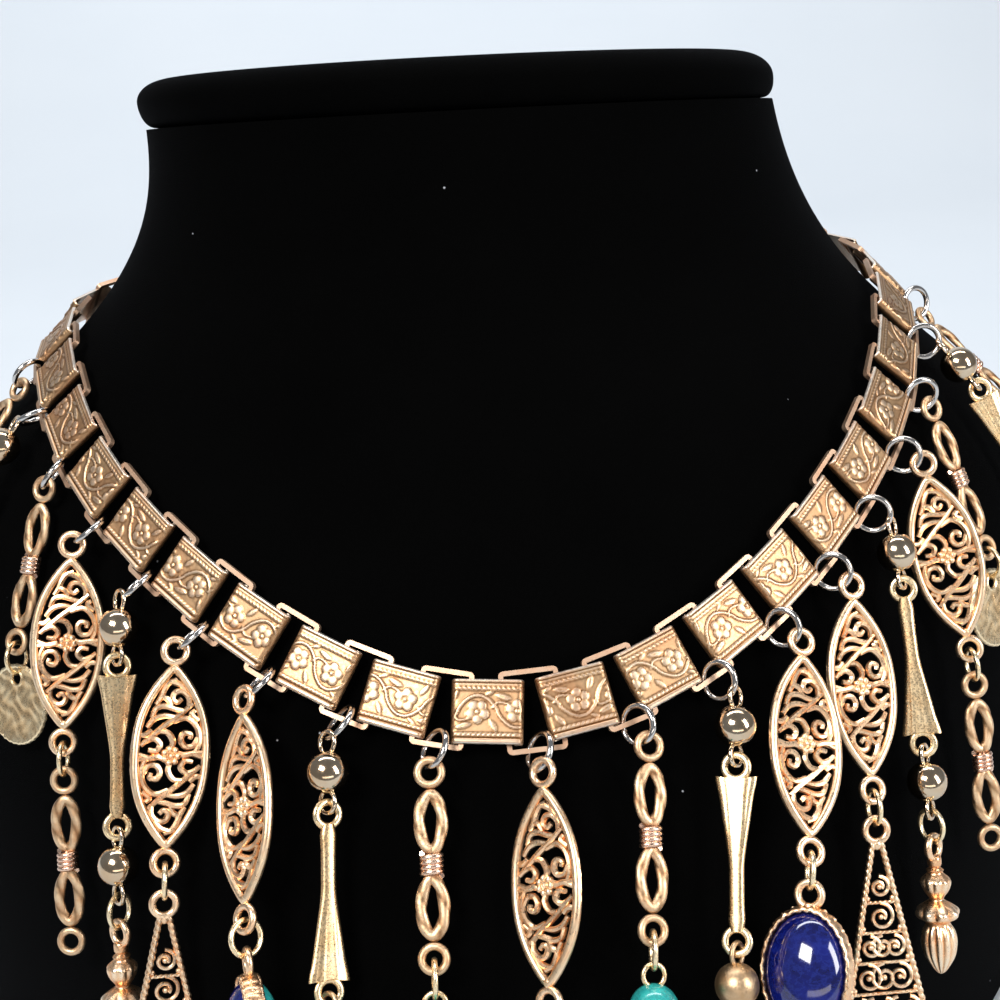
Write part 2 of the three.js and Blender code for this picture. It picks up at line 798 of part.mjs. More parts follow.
// Hanging. A frame whose flat side looks along a direction and whose Z runs from bottom to top.
function hangMatrix(top, bottom, direction) {
  const up = top.clone().sub(bottom).normalize();
  const out = direction.clone().addScaledVector(up, -direction.dot(up)).normalize();
  const inward = out.negate();
  const across = new THREE.Vector3().crossVectors(inward, up);
  return new THREE.Matrix4().makeBasis(across, inward, up).setPosition(top);
}

// Points down the bust from the first eye of a drop, on a surface that eases out to a stand-off.
function descent(drop, start, standOff) {
  const points = [];
  const step = 0.5;
  const easing = 0.5;
  let { turn, depth } = footOf(start);
  const first = footOf(start).standOff;
  let run = 0;
  while (depth < LEVEL_ZERO - 4 && run < 120) {
    const outset = standOff > first
      ? Math.min(first + run * easing, standOff)
      : Math.max(first - run * easing, standOff);
    points.push(bustPoint(turn, depth).addScaledVector(bustNormal(turn, depth), outset));
    const down = bustPoint(turn, depth + DEPTH_STEP).distanceTo(bustPoint(turn, depth)) / DEPTH_STEP;
    const sideways = bustPoint(turn + TURN_STEP, depth).distanceTo(bustPoint(turn, depth)) / TURN_STEP;
    depth += step / down;
    turn += (drop.lean * step) / sideways;
    run += step;
  }
  return points;
}

// The next point on the way down at a straight distance from a given point.
function pointAt(points, from, distance, after) {
  let i = Math.max(1, Math.floor(after));
  while (i < points.length - 1 && points[i].distanceTo(from) < distance) {
    i += 1;
  }
  const before = points[i - 1];
  const low = before.distanceTo(from);
  const high = points[i].distanceTo(from);
  const share = Math.min(1, Math.max(0, (distance - low) / (high - low || 1)));
  return { point: before.clone().lerp(points[i], share), index: i - 1 + share };
}

// Level direction that the bust faces at a connector, turned by an angle.
function facingAt(count, turn) {
  const spot = collarSpot(count);
  const out = bustNormal(spot.turn, spot.depth);
  const compass = Math.atan2(out.x, -out.y) + turn * DEGREE;
  return new THREE.Vector3(Math.sin(compass), -Math.cos(compass), 0);
}

function reachOf(turn, halfWidth, halfDepth) {
  return Math.abs(Math.sin(turn * DEGREE)) * halfWidth + Math.abs(Math.cos(turn * DEGREE)) * halfDepth;
}

// The ring on a connector's lower bar and the eye that hangs in it, both in the plane across the bar.
function topRing(drop, standOff) {
  const link = linkMatrix(drop.at);
  const across = new THREE.Vector3();
  const inward = new THREE.Vector3();
  const up = new THREE.Vector3();
  link.extractBasis(across, inward, up);
  const loose = drop.at === 0;
  const inset = loose ? LOOSE.inset : SOLDERED.inset;
  const thickness = loose ? LOOSE.thickness : SOLDERED.thickness;
  const height = loose ? LOOSE.height : CONNECTOR.height;
  const bar = new THREE.Vector3(0, inset, -(height - CONNECTOR.bar) / 2).applyMatrix4(link);
  const flatShare = Math.cos(Math.PI / RING_SIDES);
  const barReach = Math.hypot(CONNECTOR.bar, thickness) / 2;
  const hang = TOP_RING.radius * flatShare - TOP_RING.wire - barReach - BAR_CLEARANCE;
  const offVelvet = TOP_RING.radius + TOP_RING.wire + RING_VELVET_GAP - (COLLAR_STAND_OFF - inset);
  const forward = Math.min(offVelvet, hang * 0.95);
  const centre = bar.clone()
    .addScaledVector(up, -Math.sqrt(hang * hang - forward * forward))
    .addScaledVector(inward, -forward);
  const firstPiece = PIECES[drop.chain[0].piece];
  const reach = TOP_RING.radius - TOP_RING.wire + firstPiece.top + FUSED_OVERLAP;
  const rise = Math.max(-0.3 * reach, Math.min(0.5 * reach, standOff - footOf(centre).standOff));
  const eye = centre.clone()
    .addScaledVector(up, -Math.sqrt(reach * reach - rise * rise))
    .addScaledVector(inward, -rise);
  return { centre, eye, ring: { centre, below: eye, direction: across, loop: TOP_RING } };
}

// Where every eye and ring of a drop lies.
function placeDrop(drop, standOff) {
  const start = topRing(drop, standOff);
  const way = descent(drop, start.eye, standOff);
  const spots = [];
  let top = { point: start.eye, index: 1 };
  let rings = [start.ring];
  drop.chain.forEach((link, order) => {
    const piece = PIECES[link.piece];
    if (order > 0) {
      const above = spots[order - 1];
      let clear = above.piece.bottom;
      let current = above.end;
      let slack = -HOOK_SLACK;
      rings = [];
      if (link.ring !== undefined) {
        const lowerClear = LOWER_RING.radius - LOWER_RING.wire;
        current = pointAt(way, current.point, clear + lowerClear - HOOK_SLACK, current.index);
        clear = lowerClear;
        slack = FUSED_OVERLAP;
      }
      top = pointAt(way, current.point, clear + piece.top + slack, current.index);
      if (link.ring !== undefined) {
        rings.push({
          centre: current.point,
          below: top.point,
          direction: facingAt(drop.at, link.ring),
          loop: LOWER_RING,
        });
      }
    }
    const end = pointAt(way, top.point, piece.length, top.index);
    spots.push({ link, piece, rings, top: top.point, end });
  });
  return spots;
}

function isClear(spots) {
  return spots.every(({ link, piece, top, end }) => {
    const need = reachOf(link.turn, piece.halfWidth, piece.halfDepth) + VELVET_GAP;
    const eyeReach = CAST_EYE.radius + CAST_EYE.wire;
    const endNeed = Math.min(need, reachOf(link.turn, eyeReach, piece.halfDepth) + VELVET_GAP);
    const stations = [
      { share: 0, least: endNeed },
      { share: 0.3, least: need },
      { share: 0.5, least: need },
      { share: 0.7, least: need },
      { share: 1, least: piece.bottom > 0 ? endNeed : need },
    ];
    return stations.every(({ share, least }) => {
      const spot = top.clone().lerp(end.point, share);
      return footOf(spot).standOff > least;
    });
  });
}

function layOut(drop) {
  let standOff = VELVET_GAP + Math.max(...drop.chain.map((link) => (
    reachOf(link.turn, PIECES[link.piece].halfWidth, PIECES[link.piece].halfDepth)
  )));
  let spots = placeDrop(drop, standOff);
  for (let i = 0; i < 30 && !isClear(spots); i += 1) {
    standOff += 0.5;
    spots = placeDrop(drop, standOff);
  }
  return spots;
}

function dropNodes(drop) {
  const side = drop.at === 0 ? 'c' : `${drop.at < 0 ? 'l' : 'r'}${Math.abs(drop.at)}`;
  return layOut(drop).map(({ link, piece, rings, top, end }, order) => {
    const solids = [placed(piece.make(), hangMatrix(top, end.point, facingAt(drop.at, link.turn)))];
    for (const ring of rings) {
      solids.push(placed(torus(ring.loop), hangMatrix(ring.centre, ring.below, ring.direction)));
    }
    const name = `drop_${side}_${order + 1}_${link.piece}`;
    return nodeOf(name, fuse(solids), piece.look);
  });
}

// Body of the bust from rings of points, closed at the top and the bottom.
function skinOf(rings) {
  const sides = rings[0].length;
  const positions = [];
  const push = (...points) => points.forEach((point) => positions.push(point.x, point.y, point.z));
  for (let row = 0; row + 1 < rings.length; row += 1) {
    for (let i = 0; i < sides; i += 1) {
      const next = (i + 1) % sides;
      push(rings[row][i], rings[row + 1][i], rings[row + 1][next]);
      push(rings[row][i], rings[row + 1][next], rings[row][next]);
    }
  }
  const centreOf = (ring) => ring.reduce((sum, point) => sum.add(point), new THREE.Vector3())
    .divideScalar(sides);
  for (let i = 0; i < sides; i += 1) {
    const next = (i + 1) % sides;
    push(centreOf(rings[0]), rings[0][i], rings[0][next]);
    const last = rings[rings.length - 1];
    push(centreOf(last), last[next], last[i]);
  }
  const geometry = new THREE.BufferGeometry();
  geometry.setAttribute('position', new THREE.Float32BufferAttribute(positions, 3));
  return solidOf(geometry);
}

// A ring of points round the bust, level or tilted as the cap is.
function ringAt(depth, outset, tilt) {
  const points = [];
  for (let i = 0; i < BUST_SIDES; i += 1) {
    const turn = (2 * Math.PI * i) / BUST_SIDES;
    const level = bustPoint(turn, depth, outset);
    points.push(bustPoint(turn, depth + tilt * level.y, outset));
  }
  return points;
}

function bust() {
  const top = ringAt(CAP_DEPTH + CAP_THICKNESS + CAP_GAP, 0, CAP_TILT);
  return skinOf([top, ...BUST_ROW_DEPTHS.map((depth) => ringAt(depth, 0, 0))]);
}

// Rows down the cap: share of its thickness and how far it stands out past the neck.
const CAP_ROWS = [
  { down: 0, outset: -3.5 },
  { down: 0.12, outset: -0.9 },
  { down: 0.4, outset: CAP_OVERHANG },
  { down: 0.7, outset: CAP_OVERHANG },
  { down: 1, outset: -1 },
];

function neckCap() {
  return skinOf(CAP_ROWS.map((row) => ringAt(CAP_DEPTH + row.down * CAP_THICKNESS, row.outset, CAP_TILT)));
}

function build() {
  const group = new THREE.Group();
  group.add(nodeOf('neck_bust', bust(), VELVET));
  group.add(nodeOf('neck_cap', neckCap(), VELVET));
  group.add(nodeOf('collar_left', collarHalf(-1), GOLD));
  group.add(nodeOf('collar_right', collarHalf(1), GOLD));
  group.add(nodeOf('clasp', clasp(), GOLD));
  for (const drop of DROPS) {
    group.add(...dropNodes(drop));
  }
  return group;
}

export default build();
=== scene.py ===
"""Looks of a bib necklace of hung drops on a black velvet neck bust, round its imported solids.

Lengths are in mm until a mesh is made, and in metres from there on.
"""

import math
from functools import partial

import bpy
import numpy as np
from mathutils import Matrix, Vector


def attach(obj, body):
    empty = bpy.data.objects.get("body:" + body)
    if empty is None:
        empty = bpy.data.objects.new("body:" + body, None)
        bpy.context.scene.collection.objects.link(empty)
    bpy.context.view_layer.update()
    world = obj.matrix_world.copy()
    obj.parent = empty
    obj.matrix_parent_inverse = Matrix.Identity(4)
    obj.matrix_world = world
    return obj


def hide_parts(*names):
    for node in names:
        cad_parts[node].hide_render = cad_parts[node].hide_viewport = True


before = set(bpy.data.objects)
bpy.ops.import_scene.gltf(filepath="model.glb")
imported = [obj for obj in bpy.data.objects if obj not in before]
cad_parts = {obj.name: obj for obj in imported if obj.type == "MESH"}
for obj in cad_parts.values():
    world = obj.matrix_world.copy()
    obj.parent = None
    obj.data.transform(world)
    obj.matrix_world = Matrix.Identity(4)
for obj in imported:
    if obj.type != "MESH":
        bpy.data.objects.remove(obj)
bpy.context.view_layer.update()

MM = 0.001
RANDOM = np.random.default_rng(7)

# Bust, as in the solids. Depths run down from a level this far above the base.
LEVEL_ZERO = 222
NECK_HALF_WIDTH = 60.3
NECK_FRONT_REACH = 44.3
NECK_BACK_REACH = 30
NECK_LEAN = {"slope": 0.127, "end": 60, "softness": 6}
CAP_DEPTH = 35.4
CAP_THICKNESS = 9
CAP_OVERHANG = 1
CAP_TILT = 0.13
CAP_GAP = 0.3
SIDE_FLARE = {"slope": 0.79, "start": 60.8, "end": 103, "softness": 9}
FRONT_FLARE = {"slope": 0.735, "start": 67.7, "end": 182, "softness": 13}
BACK_FLARE = {"slope": 0.25, "start": 60, "end": 200, "softness": 12}
SHOULDER_FLARE = {"slope": 0.8, "start": 84, "end": 119, "softness": 7}
SHOULDER_SHARPNESS = 6

# Collar, as in the solids.
LINK_COUNT = 33
COLLAR_STAND_OFF = 2.6
COLLAR_FRONT_SHIFT = 0.9
COLLAR_LINE = {
    "depth": 72.2, "to_front": 0.643, "to_back": 0.113, "to_side": 0.015,
    "bend_at": -20.1, "bend_softness": 6,
}
PLATE_HEIGHT = 10.5
LAST_FULL_LINK = 9.5
BAR = 0.8
CONNECTOR = {"width": 8.8, "height": 12.8, "thickness": 0.9, "inset": -0.25, "solid_thickness": 1.0}
LOOSE = {"width": 9.8, "height": 13.6, "thickness": 0.6, "inset": 0.5, "solid_thickness": 0.6}
LINK_CORNER = 0.45

# Wire and loop sizes: mean radius of the loop, radius of its wire. A drawn wire may be a little heavier.
TOP_RING = {"radius": 3.1, "wire": 0.52, "drawn_wire": 0.56}
LOWER_RING = {"radius": 2.8, "wire": 0.46}
CAST_EYE = {"radius": 1.8, "wire": 0.5, "heavy": 0.64}
BALL_LOOP = {"radius": 1.75, "wire": 0.42}
BALL_RADIUS = 3.5
STONE_BEAD_RADIUS = 3.9
# How far a top ring has swung round from hanging straight across its bar, in degrees.
RING_TURN = 40

# Camera, found from the photograph.
CAMERA_PLACE = (-15.673, -319.953, 213.95)
CAMERA_YAW, CAMERA_PITCH, CAMERA_ROLL = 3.2, -20.24, 2.521
CAMERA_LENS, SENSOR_WIDTH = 57.07, 36


# Meshes. A part is its points in mm, quads, triangles and the painted light of each point, from 0, painted
# shade, to 1, painted highlight.


class Shape:
    """The parts of one piece, gathered as arrays: points in mm, faces, finish and painted light."""

    def __init__(self):
        self.points, self.painted_light = [], []
        self.quads, self.quad_finish = [], []
        self.tris, self.tri_finish = [], []
        self.finishes = []
        self.count = 0

    def finish_index(self, finish):
        if finish not in self.finishes:
            self.finishes.append(finish)
        return self.finishes.index(finish)

    def add(self, part, finish, place=None, painted_light=None):
        """Adds a part, which is (points, quads, triangles, painted light), at a 4 by 4 place."""
        points, quads, tris, own_painted_light = part
        if place is not None:
            points = points @ place[:3, :3].T + place[:3, 3]
        index = self.finish_index(finish)
        self.points.append(points)
        self.painted_light.append(np.full(len(points), painted_light) if painted_light is not None else own_painted_light)
        self.quads.append(quads + self.count)
        self.quad_finish.append(np.full(len(quads), index))
        self.tris.append(tris + self.count)
        self.tri_finish.append(np.full(len(tris), index))
        self.count += len(points)

    def make(self, name, node, crease=42):
        """Makes the Blender object, which stands for a CAD node."""
        points = np.concatenate(self.points) * MM
        quads = np.concatenate(self.quads).astype(np.int32)
        tris = np.concatenate(self.tris).astype(np.int32)
        mesh = bpy.data.meshes.new(name)
        mesh.vertices.add(len(points))
        mesh.vertices.foreach_set("co", points.astype(np.float32).ravel())
        mesh.loops.add(quads.size + tris.size)
        mesh.loops.foreach_set("vertex_index", np.concatenate([quads.ravel(), tris.ravel()]))
        mesh.polygons.add(len(quads) + len(tris))
        starts = np.concatenate([np.arange(len(quads)) * 4, quads.size + np.arange(len(tris)) * 3])
        mesh.polygons.foreach_set("loop_start", starts.astype(np.int32))
        finish = np.concatenate([*self.quad_finish, *self.tri_finish]).astype(np.int32)
        mesh.polygons.foreach_set("material_index", finish)
        mesh.polygons.foreach_set("use_smooth", np.ones(len(starts), bool))
        mesh.update(calc_edges=True)
        mesh.validate()
        mesh.set_sharp_from_angle(angle=math.radians(crease))
        # Painted light of each point, from painted shade in hollows to painted highlight on raised edges,
        # kept for the finishes.
        lighter_tone = mesh.attributes.new("painted_light", "FLOAT", "POINT")
        lighter_tone.data.foreach_set("value", np.concatenate(self.painted_light).astype(np.float32))
        for finish_name in self.finishes:
            mesh.materials.append(FINISHES[finish_name])
        piece = bpy.data.objects.new(name, mesh)
        bpy.context.scene.collection.objects.link(piece)
        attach(piece, "root")
        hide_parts(node)
        return piece


NO_TRIS = np.zeros((0, 3), int)
MIDDLE_PAINTED_LIGHT = 0.6


def unit(vectors):
    vectors = np.asarray(vectors, float)
    return vectors / np.linalg.norm(vectors, axis=-1, keepdims=True)


def net(rows, columns, ring_rows=False, ring_columns=False):
    """Quads over a grid of points, which may close on itself either way."""
    numbers = np.arange(rows * columns).reshape(rows, columns)
    if ring_rows:
        numbers = np.vstack([numbers, numbers[:1]])
    if ring_columns:
        numbers = np.hstack([numbers, numbers[:, :1]])
    a, b = numbers[:-1, :-1], numbers[:-1, 1:]
    c, d = numbers[1:, 1:], numbers[1:, :-1]
    return np.stack([a, b, c, d], -1).reshape(-1, 4)


def fan(rim, centre):
    """Triangles from a ring of point numbers to a centre point."""
    rim = np.asarray(rim)
    return np.stack([rim, np.roll(rim, -1), np.full(len(rim), centre)], -1)


def arc_of(line):
    """Length along a line of points."""
    return np.concatenate([[0], np.cumsum(np.linalg.norm(np.diff(line, axis=0), axis=1))])


def circle(sides):
    return np.linspace(0, 2 * np.pi, sides, endpoint=False)


def standing(x, z):
    """Points in the X Z plane."""
    return np.stack([x, 0 * x, z], -1)


def curve(points, steps=8, closed=False):
    """Smooth curve through points."""
    points = np.asarray(points, float)
    if closed:
        points = np.vstack([points[-1:], points, points[:2]])
    else:
        points = np.vstack([2 * points[0] - points[1], points, 2 * points[-1] - points[-2]])
    share = np.linspace(0, 1, steps, endpoint=False)[:, None]
    spans = []
    for a, b, c, d in zip(points, points[1:], points[2:], points[3:]):
        bend = 2 * a - 5 * b + 4 * c - d
        turn = 3 * b - a - 3 * c + d
        spans.append(b + 0.5 * ((c - a) * share + bend * share**2 + turn * share**3))
    if not closed:
        spans.append(points[-2][None])
    return np.vstack(spans)


def flat(points):
    """Pairs of x and z as points in space."""
    points = np.asarray(points, float)
    return standing(points[:, 0], points[:, 1])


def flat_curve(points, steps, closed=False):
    """Smooth curve through pairs of numbers."""
    return curve(np.pad(np.asarray(points, float), ((0, 0), (0, 1))), steps, closed)[:, :2]


def tube(path, radius, sides=8, closed=False, side_on=(0, 1, 0), depth=1.0, rope=None, start=0.0):
    """Wire along a path. rope is (strands, turns for each mm, cut as a share of the radius)."""
    path = np.asarray(path, float)
    count = len(path)
    tangent = unit(np.roll(path, -1, 0) - np.roll(path, 1, 0)) if closed else unit(np.gradient(path, axis=0))
    out = unit(np.cross(tangent, np.broadcast_to(np.asarray(side_on, float), (count, 3))))
    lift = np.cross(out, tangent)
    angle = start + circle(sides)[None, :]
    reach = np.broadcast_to(np.asarray(radius, float), (count,))[:, None] * np.ones((1, sides))
    painted_light = np.full((count, sides), MIDDLE_PAINTED_LIGHT)
    if rope is not None:
        strands, turns, cut = rope
        arc = arc_of(path)[:, None]
        swell = np.abs(np.cos(strands / 2 * (angle - 2 * np.pi * turns * arc)))
        reach = reach * (1 - cut * (1 - swell))
        # Painted highlight on the crests of the strands and painted shade in the grooves between them.
        painted_light = 0.15 + 0.75 * swell
    points = (
        path[:, None]
        + out[:, None] * (np.cos(angle) * reach)[..., None]
        + lift[:, None] * (np.sin(angle) * reach * depth)[..., None]
    )
    quads = net(count, sides, ring_rows=closed, ring_columns=True)
    points = points.reshape(-1, 3)
    painted_light = painted_light.ravel()
    if closed:
        return points, quads, NO_TRIS, painted_light
    ends = np.vstack([points, path[:1], path[-1:]])
    first = fan(np.arange(sides)[::-1], len(points))
    last = fan(np.arange(sides) + (count - 1) * sides, len(points) + 1)
    return ends, quads, np.vstack([first, last]), np.append(painted_light, [MIDDLE_PAINTED_LIGHT, MIDDLE_PAINTED_LIGHT])


def ring(radius, wire, steps, sides, centre=(0, 0, 0)):
    """Closed wire ring, which stands in the X Z plane."""
    angle = circle(steps)
    path = radius * standing(np.cos(angle), np.sin(angle)) + np.asarray(centre)
    return tube(path, wire, sides, closed=True)


def turned(profile, sides, ribs=None):
    """Body of rotation round Z. Profile rows are radius and height; ribs gives a share by row and angle."""
    profile = np.asarray(profile, float)
    angle = circle(sides)
    radius = profile[:, :1] * np.ones((1, sides))
    if ribs is not None:
        radius = radius * ribs(np.arange(len(profile))[:, None] / (len(profile) - 1), angle[None, :])
    height = profile[:, 1:] * np.ones((1, sides))
    points = np.stack([radius * np.cos(angle), radius * np.sin(angle), height], -1)
    # Painted highlight on the parts that stand out, such as ribs, and painted shade between them.
    least = radius.min(1, keepdims=True)
    relief = (radius - least) / np.maximum(profile[:, :1] * 0.12, 1e-6)
    painted_light = np.clip(0.45 + 0.5 * relief, 0, 1)
    return points.reshape(-1, 3), net(len(profile), sides, ring_columns=True), NO_TRIS, painted_light.ravel()


def ball(radius, centre=(0, 0, 0), squeeze=(1, 1, 1), rows=18, sides=28):
    angle = np.linspace(-np.pi / 2, np.pi / 2, rows)
    points, quads, tris, _ = turned(np.stack([radius * np.cos(angle), radius * np.sin(angle)], -1), sides)
    points = points * np.asarray(squeeze) + np.asarray(centre)
    return points, quads, tris, np.full(len(points), 0.7)


def moved(part, by):
    points, quads, tris, painted_light = part
    return points + np.asarray(by), quads, tris, painted_light


# Surface of the bust and line of the collar, as in the solids.


def soft(x, softness):
    return softness * np.logaddexp(0, np.asarray(x) / softness)


def flare(depth, part):
    grown = soft(depth - part["start"], part["softness"]) - soft(depth - part["end"], part["softness"])
    return part["slope"] * grown


def bust_point(turn, depth, outset=0.0):
    """Place on the bust at a turn from the front, in radians, and a depth."""
    turn, depth, outset = np.broadcast_arrays(turn, depth, outset)
    side, ahead = np.sin(turn), np.cos(turn)
    shoulder = flare(depth, SHOULDER_FLARE) * np.abs(side) ** SHOULDER_SHARPNESS
    half_width = NECK_HALF_WIDTH + flare(depth, SIDE_FLARE) + shoulder + outset
    front = NECK_FRONT_REACH + flare(depth, FRONT_FLARE)
    back = NECK_BACK_REACH + flare(depth, BACK_FLARE)
    reach = np.where(ahead > 0, front, back) + outset
    lean = NECK_LEAN["slope"] * soft(NECK_LEAN["end"] - depth, NECK_LEAN["softness"])
    return np.stack([half_width * side - lean, -reach * ahead, LEVEL_ZERO - depth + 0 * turn], -1)


def bust_normal(turn, depth):
    step = 0.002
    around = bust_point(turn + step, depth) - bust_point(turn - step, depth)
    down = bust_point(turn, depth + step) - bust_point(turn, depth - step)
    normal = unit(np.cross(down, around))
    outward = normal[..., 0] * np.sin(turn) - normal[..., 1] * np.cos(turn)
    return normal * np.where(outward < 0, -1, 1)[..., None]


def collar_depth(point):
    """Depth of the collar over a place: it falls to the front and runs nearly level behind the neck."""
    x, y = point[:, 0], point[:, 1]
    bent = soft(y - COLLAR_LINE["bend_at"], COLLAR_LINE["bend_softness"])
    bend = (COLLAR_LINE["to_front"] - COLLAR_LINE["to_back"]) * bent
    return COLLAR_LINE["depth"] - COLLAR_LINE["to_front"] * y + bend - COLLAR_LINE["to_side"] * x


def collar_curve(steps=480):
    """Collar line in the air over the bust, with its length from the front centre."""
    turn = -np.pi + 2 * np.pi * np.arange(steps + 1) / steps
    high = np.full(steps + 1, float(CAP_DEPTH + CAP_THICKNESS))
    low = np.full(steps + 1, float(LEVEL_ZERO))
    for _ in range(40):
        depth = (high + low) / 2
        below = depth > collar_depth(bust_point(turn, depth))
        low = np.where(below, depth, low)
        high = np.where(below, high, depth)
    depth = (high + low) / 2
    point = bust_point(turn, depth) + bust_normal(turn, depth) * COLLAR_STAND_OFF
    arc = arc_of(point)
    return turn, depth, point, arc - arc[steps // 2]


COLLAR_TURN, COLLAR_DEPTH, COLLAR_POINT, COLLAR_ARC = collar_curve()
COLLAR_LENGTH = COLLAR_ARC[-1] - COLLAR_ARC[0]
PITCH = COLLAR_LENGTH / LINK_COUNT


def collar_spot(count):
    arc = count * PITCH + COLLAR_FRONT_SHIFT
    arc = (arc - COLLAR_ARC[0]) % COLLAR_LENGTH + COLLAR_ARC[0]
    turn, depth = np.interp(arc, COLLAR_ARC, COLLAR_TURN), np.interp(arc, COLLAR_ARC, COLLAR_DEPTH)
    point = np.array([np.interp(arc, COLLAR_ARC, COLLAR_POINT[:, axis]) for axis in range(3)])
    return turn, depth, point


def place_of(across, inward, up, origin):
    place = np.eye(4)
    place[:3, 0], place[:3, 1], place[:3, 2], place[:3, 3] = across, inward, up, origin
    return place


def link_place(count):
    """Frame of a link: X along the collar, Y towards the neck, Z up the bust."""
    turn, depth, point = collar_spot(count)
    across = unit(collar_spot(count + 0.3)[2] - collar_spot(count - 0.3)[2])
    out = bust_normal(turn, depth)
    inward = -unit(out - across * out.dot(across))
    return place_of(across, inward, np.cross(across, inward), point)


def hang_place(top, bottom, direction):
    """Frame of a hung piece: its Z runs from bottom to top and its flat side looks along a direction."""
    top, bottom, direction = (np.asarray(v, float) for v in (top, bottom, direction))
    up = unit(top - bottom)
    inward = -unit(direction - up * direction.dot(up))
    return place_of(np.cross(inward, up), inward, up, top)


# Hanging, as in the solids. A drop follows a line down the bust at a stand-off that grows until the
# whole drop is clear of the velvet. Gaps are in mm, and small steps for slopes in radians and mm.
RING_SIDES = 10
FUSED_OVERLAP = 0.12
HOOK_SLACK = 0.72
BAR_CLEARANCE = 0.32
VELVET_GAP = 0.8
RING_VELVET_GAP = 0.5
TURN_STEP, DEPTH_STEP = 0.001, 0.1
WAY = {"step": 0.5, "easing": 0.5, "longest": 120, "above_base": 4}
FOOT_PASSES = 12
# Shares of its reach by which a top ring may swing forward from its bar, and an eye out from its ring.
MOST_FORWARD = 0.95
EYE_RISE = (-0.3, 0.5)
# Where a piece is tested against the velvet, as shares of the way from its top eye to its end.
STATIONS = (0, 0.3, 0.5, 0.7, 1)
STAND_OFF = {"step": 0.5, "tries": 30}


def dot(first, second):
    return (first * second).sum(-1)


def length(vector):
    return float(np.linalg.norm(vector))


def slopes(turn, depth):
    """Place on the bust, and how far it moves for each radian of turn and each mm of depth."""
    here = bust_point(turn, depth)
    around = (bust_point(turn + TURN_STEP, depth) - here) / TURN_STEP
    down = (bust_point(turn, depth + DEPTH_STEP) - here) / DEPTH_STEP
    return here, around, down


def foot_of(points):
    """Turn and depth of the place on the bust behind each point, and how far the point stands off it."""
    points = np.asarray(points, float)
    turn = np.arctan2(points[..., 0], -points[..., 1])
    depth = LEVEL_ZERO - points[..., 2]
    for _ in range(FOOT_PASSES):
        foot, around, down = slopes(turn, depth)
        out = bust_normal(turn, depth)
        missed = points - out * dot(points - foot, out)[..., None] - foot
        around_squared, down_squared, shared = dot(around, around), dot(down, down), dot(around, down)
        determinant = around_squared * down_squared - shared * shared
        missed_around, missed_down = dot(missed, around), dot(missed, down)
        turn = turn + (missed_around * down_squared - missed_down * shared) / determinant
        depth = depth + (missed_down * around_squared - missed_around * shared) / determinant
    return turn, depth, dot(points - bust_point(turn, depth), bust_normal(turn, depth))


def descent(lean, start, stand_off):
    """Points down the bust from the first eye of a drop, on a surface that eases out to a stand-off."""
    turn, depth, first = foot_of(start)
    points, run = [], 0.0
    while depth < LEVEL_ZERO - WAY["above_base"] and run < WAY["longest"]:
        eased = run * WAY["easing"]
        outset = min(first + eased, stand_off) if stand_off > first else max(first - eased, stand_off)
        here, around, down = slopes(turn, depth)
        points.append(here + bust_normal(turn, depth) * outset)
        depth = depth + WAY["step"] / length(down)
        turn = turn + lean * WAY["step"] / length(around)
        run += WAY["step"]
    return np.array(points)


def point_at(way, start, distance, after):
    """The next point on the way down at a straight distance from a given point, and its index."""
    i = max(1, int(after))
    while i < len(way) - 1 and length(way[i] - start) < distance:
        i += 1
    low, high = length(way[i - 1] - start), length(way[i] - start)
    share = min(1.0, max(0.0, (distance - low) / ((high - low) or 1)))
    return way[i - 1] + (way[i] - way[i - 1]) * share, i - 1 + share


def facing(count, degrees):
    """Level direction that the bust faces at a connector, turned by an angle."""
    turn, depth, _ = collar_spot(count)
    out = bust_normal(turn, depth)
    angle = math.atan2(out[0], -out[1]) + math.radians(degrees)
    return np.array([math.sin(angle), -math.cos(angle), 0])


def reach_of(degrees, half_width, half_depth):
    turn = math.radians(degrees)
    return abs(math.sin(turn)) * half_width + abs(math.cos(turn)) * half_depth


def top_ring(at, clear, stand_off):
    """Centre of the ring on a connector's lower bar, and of the eye that hangs in it."""
    link = link_place(at)
    inward, up = link[:3, 1], link[:3, 2]
    size = LOOSE if at == 0 else CONNECTOR
    bar = link[:3, 3] + inward * size["inset"] - up * (size["height"] - BAR) / 2
    bar_reach = math.hypot(BAR, size["solid_thickness"]) / 2
    flat_share = math.cos(math.pi / RING_SIDES)
    hang = TOP_RING["radius"] * flat_share - TOP_RING["wire"] - bar_reach - BAR_CLEARANCE
    off_velvet = TOP_RING["radius"] + TOP_RING["wire"] + RING_VELVET_GAP - (COLLAR_STAND_OFF - size["inset"])
    forward = min(off_velvet, MOST_FORWARD * hang)
    centre = bar - up * math.sqrt(hang**2 - forward**2) - inward * forward
    reach = TOP_RING["radius"] - TOP_RING["wire"] + clear + FUSED_OVERLAP
    rise = np.clip(stand_off - foot_of(centre)[2], EYE_RISE[0] * reach, EYE_RISE[1] * reach)
    return centre, centre - up * math.sqrt(reach**2 - rise**2) - inward * rise


def place_drop(drop, stand_off):
    """Where each piece of a drop lies: kind, turn, top eye, bottom end, and its ring's centre and turn."""
    centre, top = top_ring(drop["at"], KINDS[drop["chain"][0][0]]["top"], stand_off)
    way = descent(drop["lean"], top, stand_off)
    index, end, clear = 1, None, None
    ring_turn = None
    spots = []
    for kind, turn, *rings in drop["chain"]:
        piece = KINDS[kind]
        if spots:
            centre, ring_turn, slack = None, None, -HOOK_SLACK
            if rings:
                lower_clear = LOWER_RING["radius"] - LOWER_RING["wire"]
                centre, index = point_at(way, end, clear + lower_clear - HOOK_SLACK, index)
                end, clear, slack, ring_turn = centre, lower_clear, FUSED_OVERLAP, rings[0]
            top, index = point_at(way, end, clear + piece["top"] + slack, index)
        end, index = point_at(way, top, piece["length"], index)
        clear = piece["bottom"]
        spots.append((kind, turn, top, end, centre, ring_turn))
    return spots


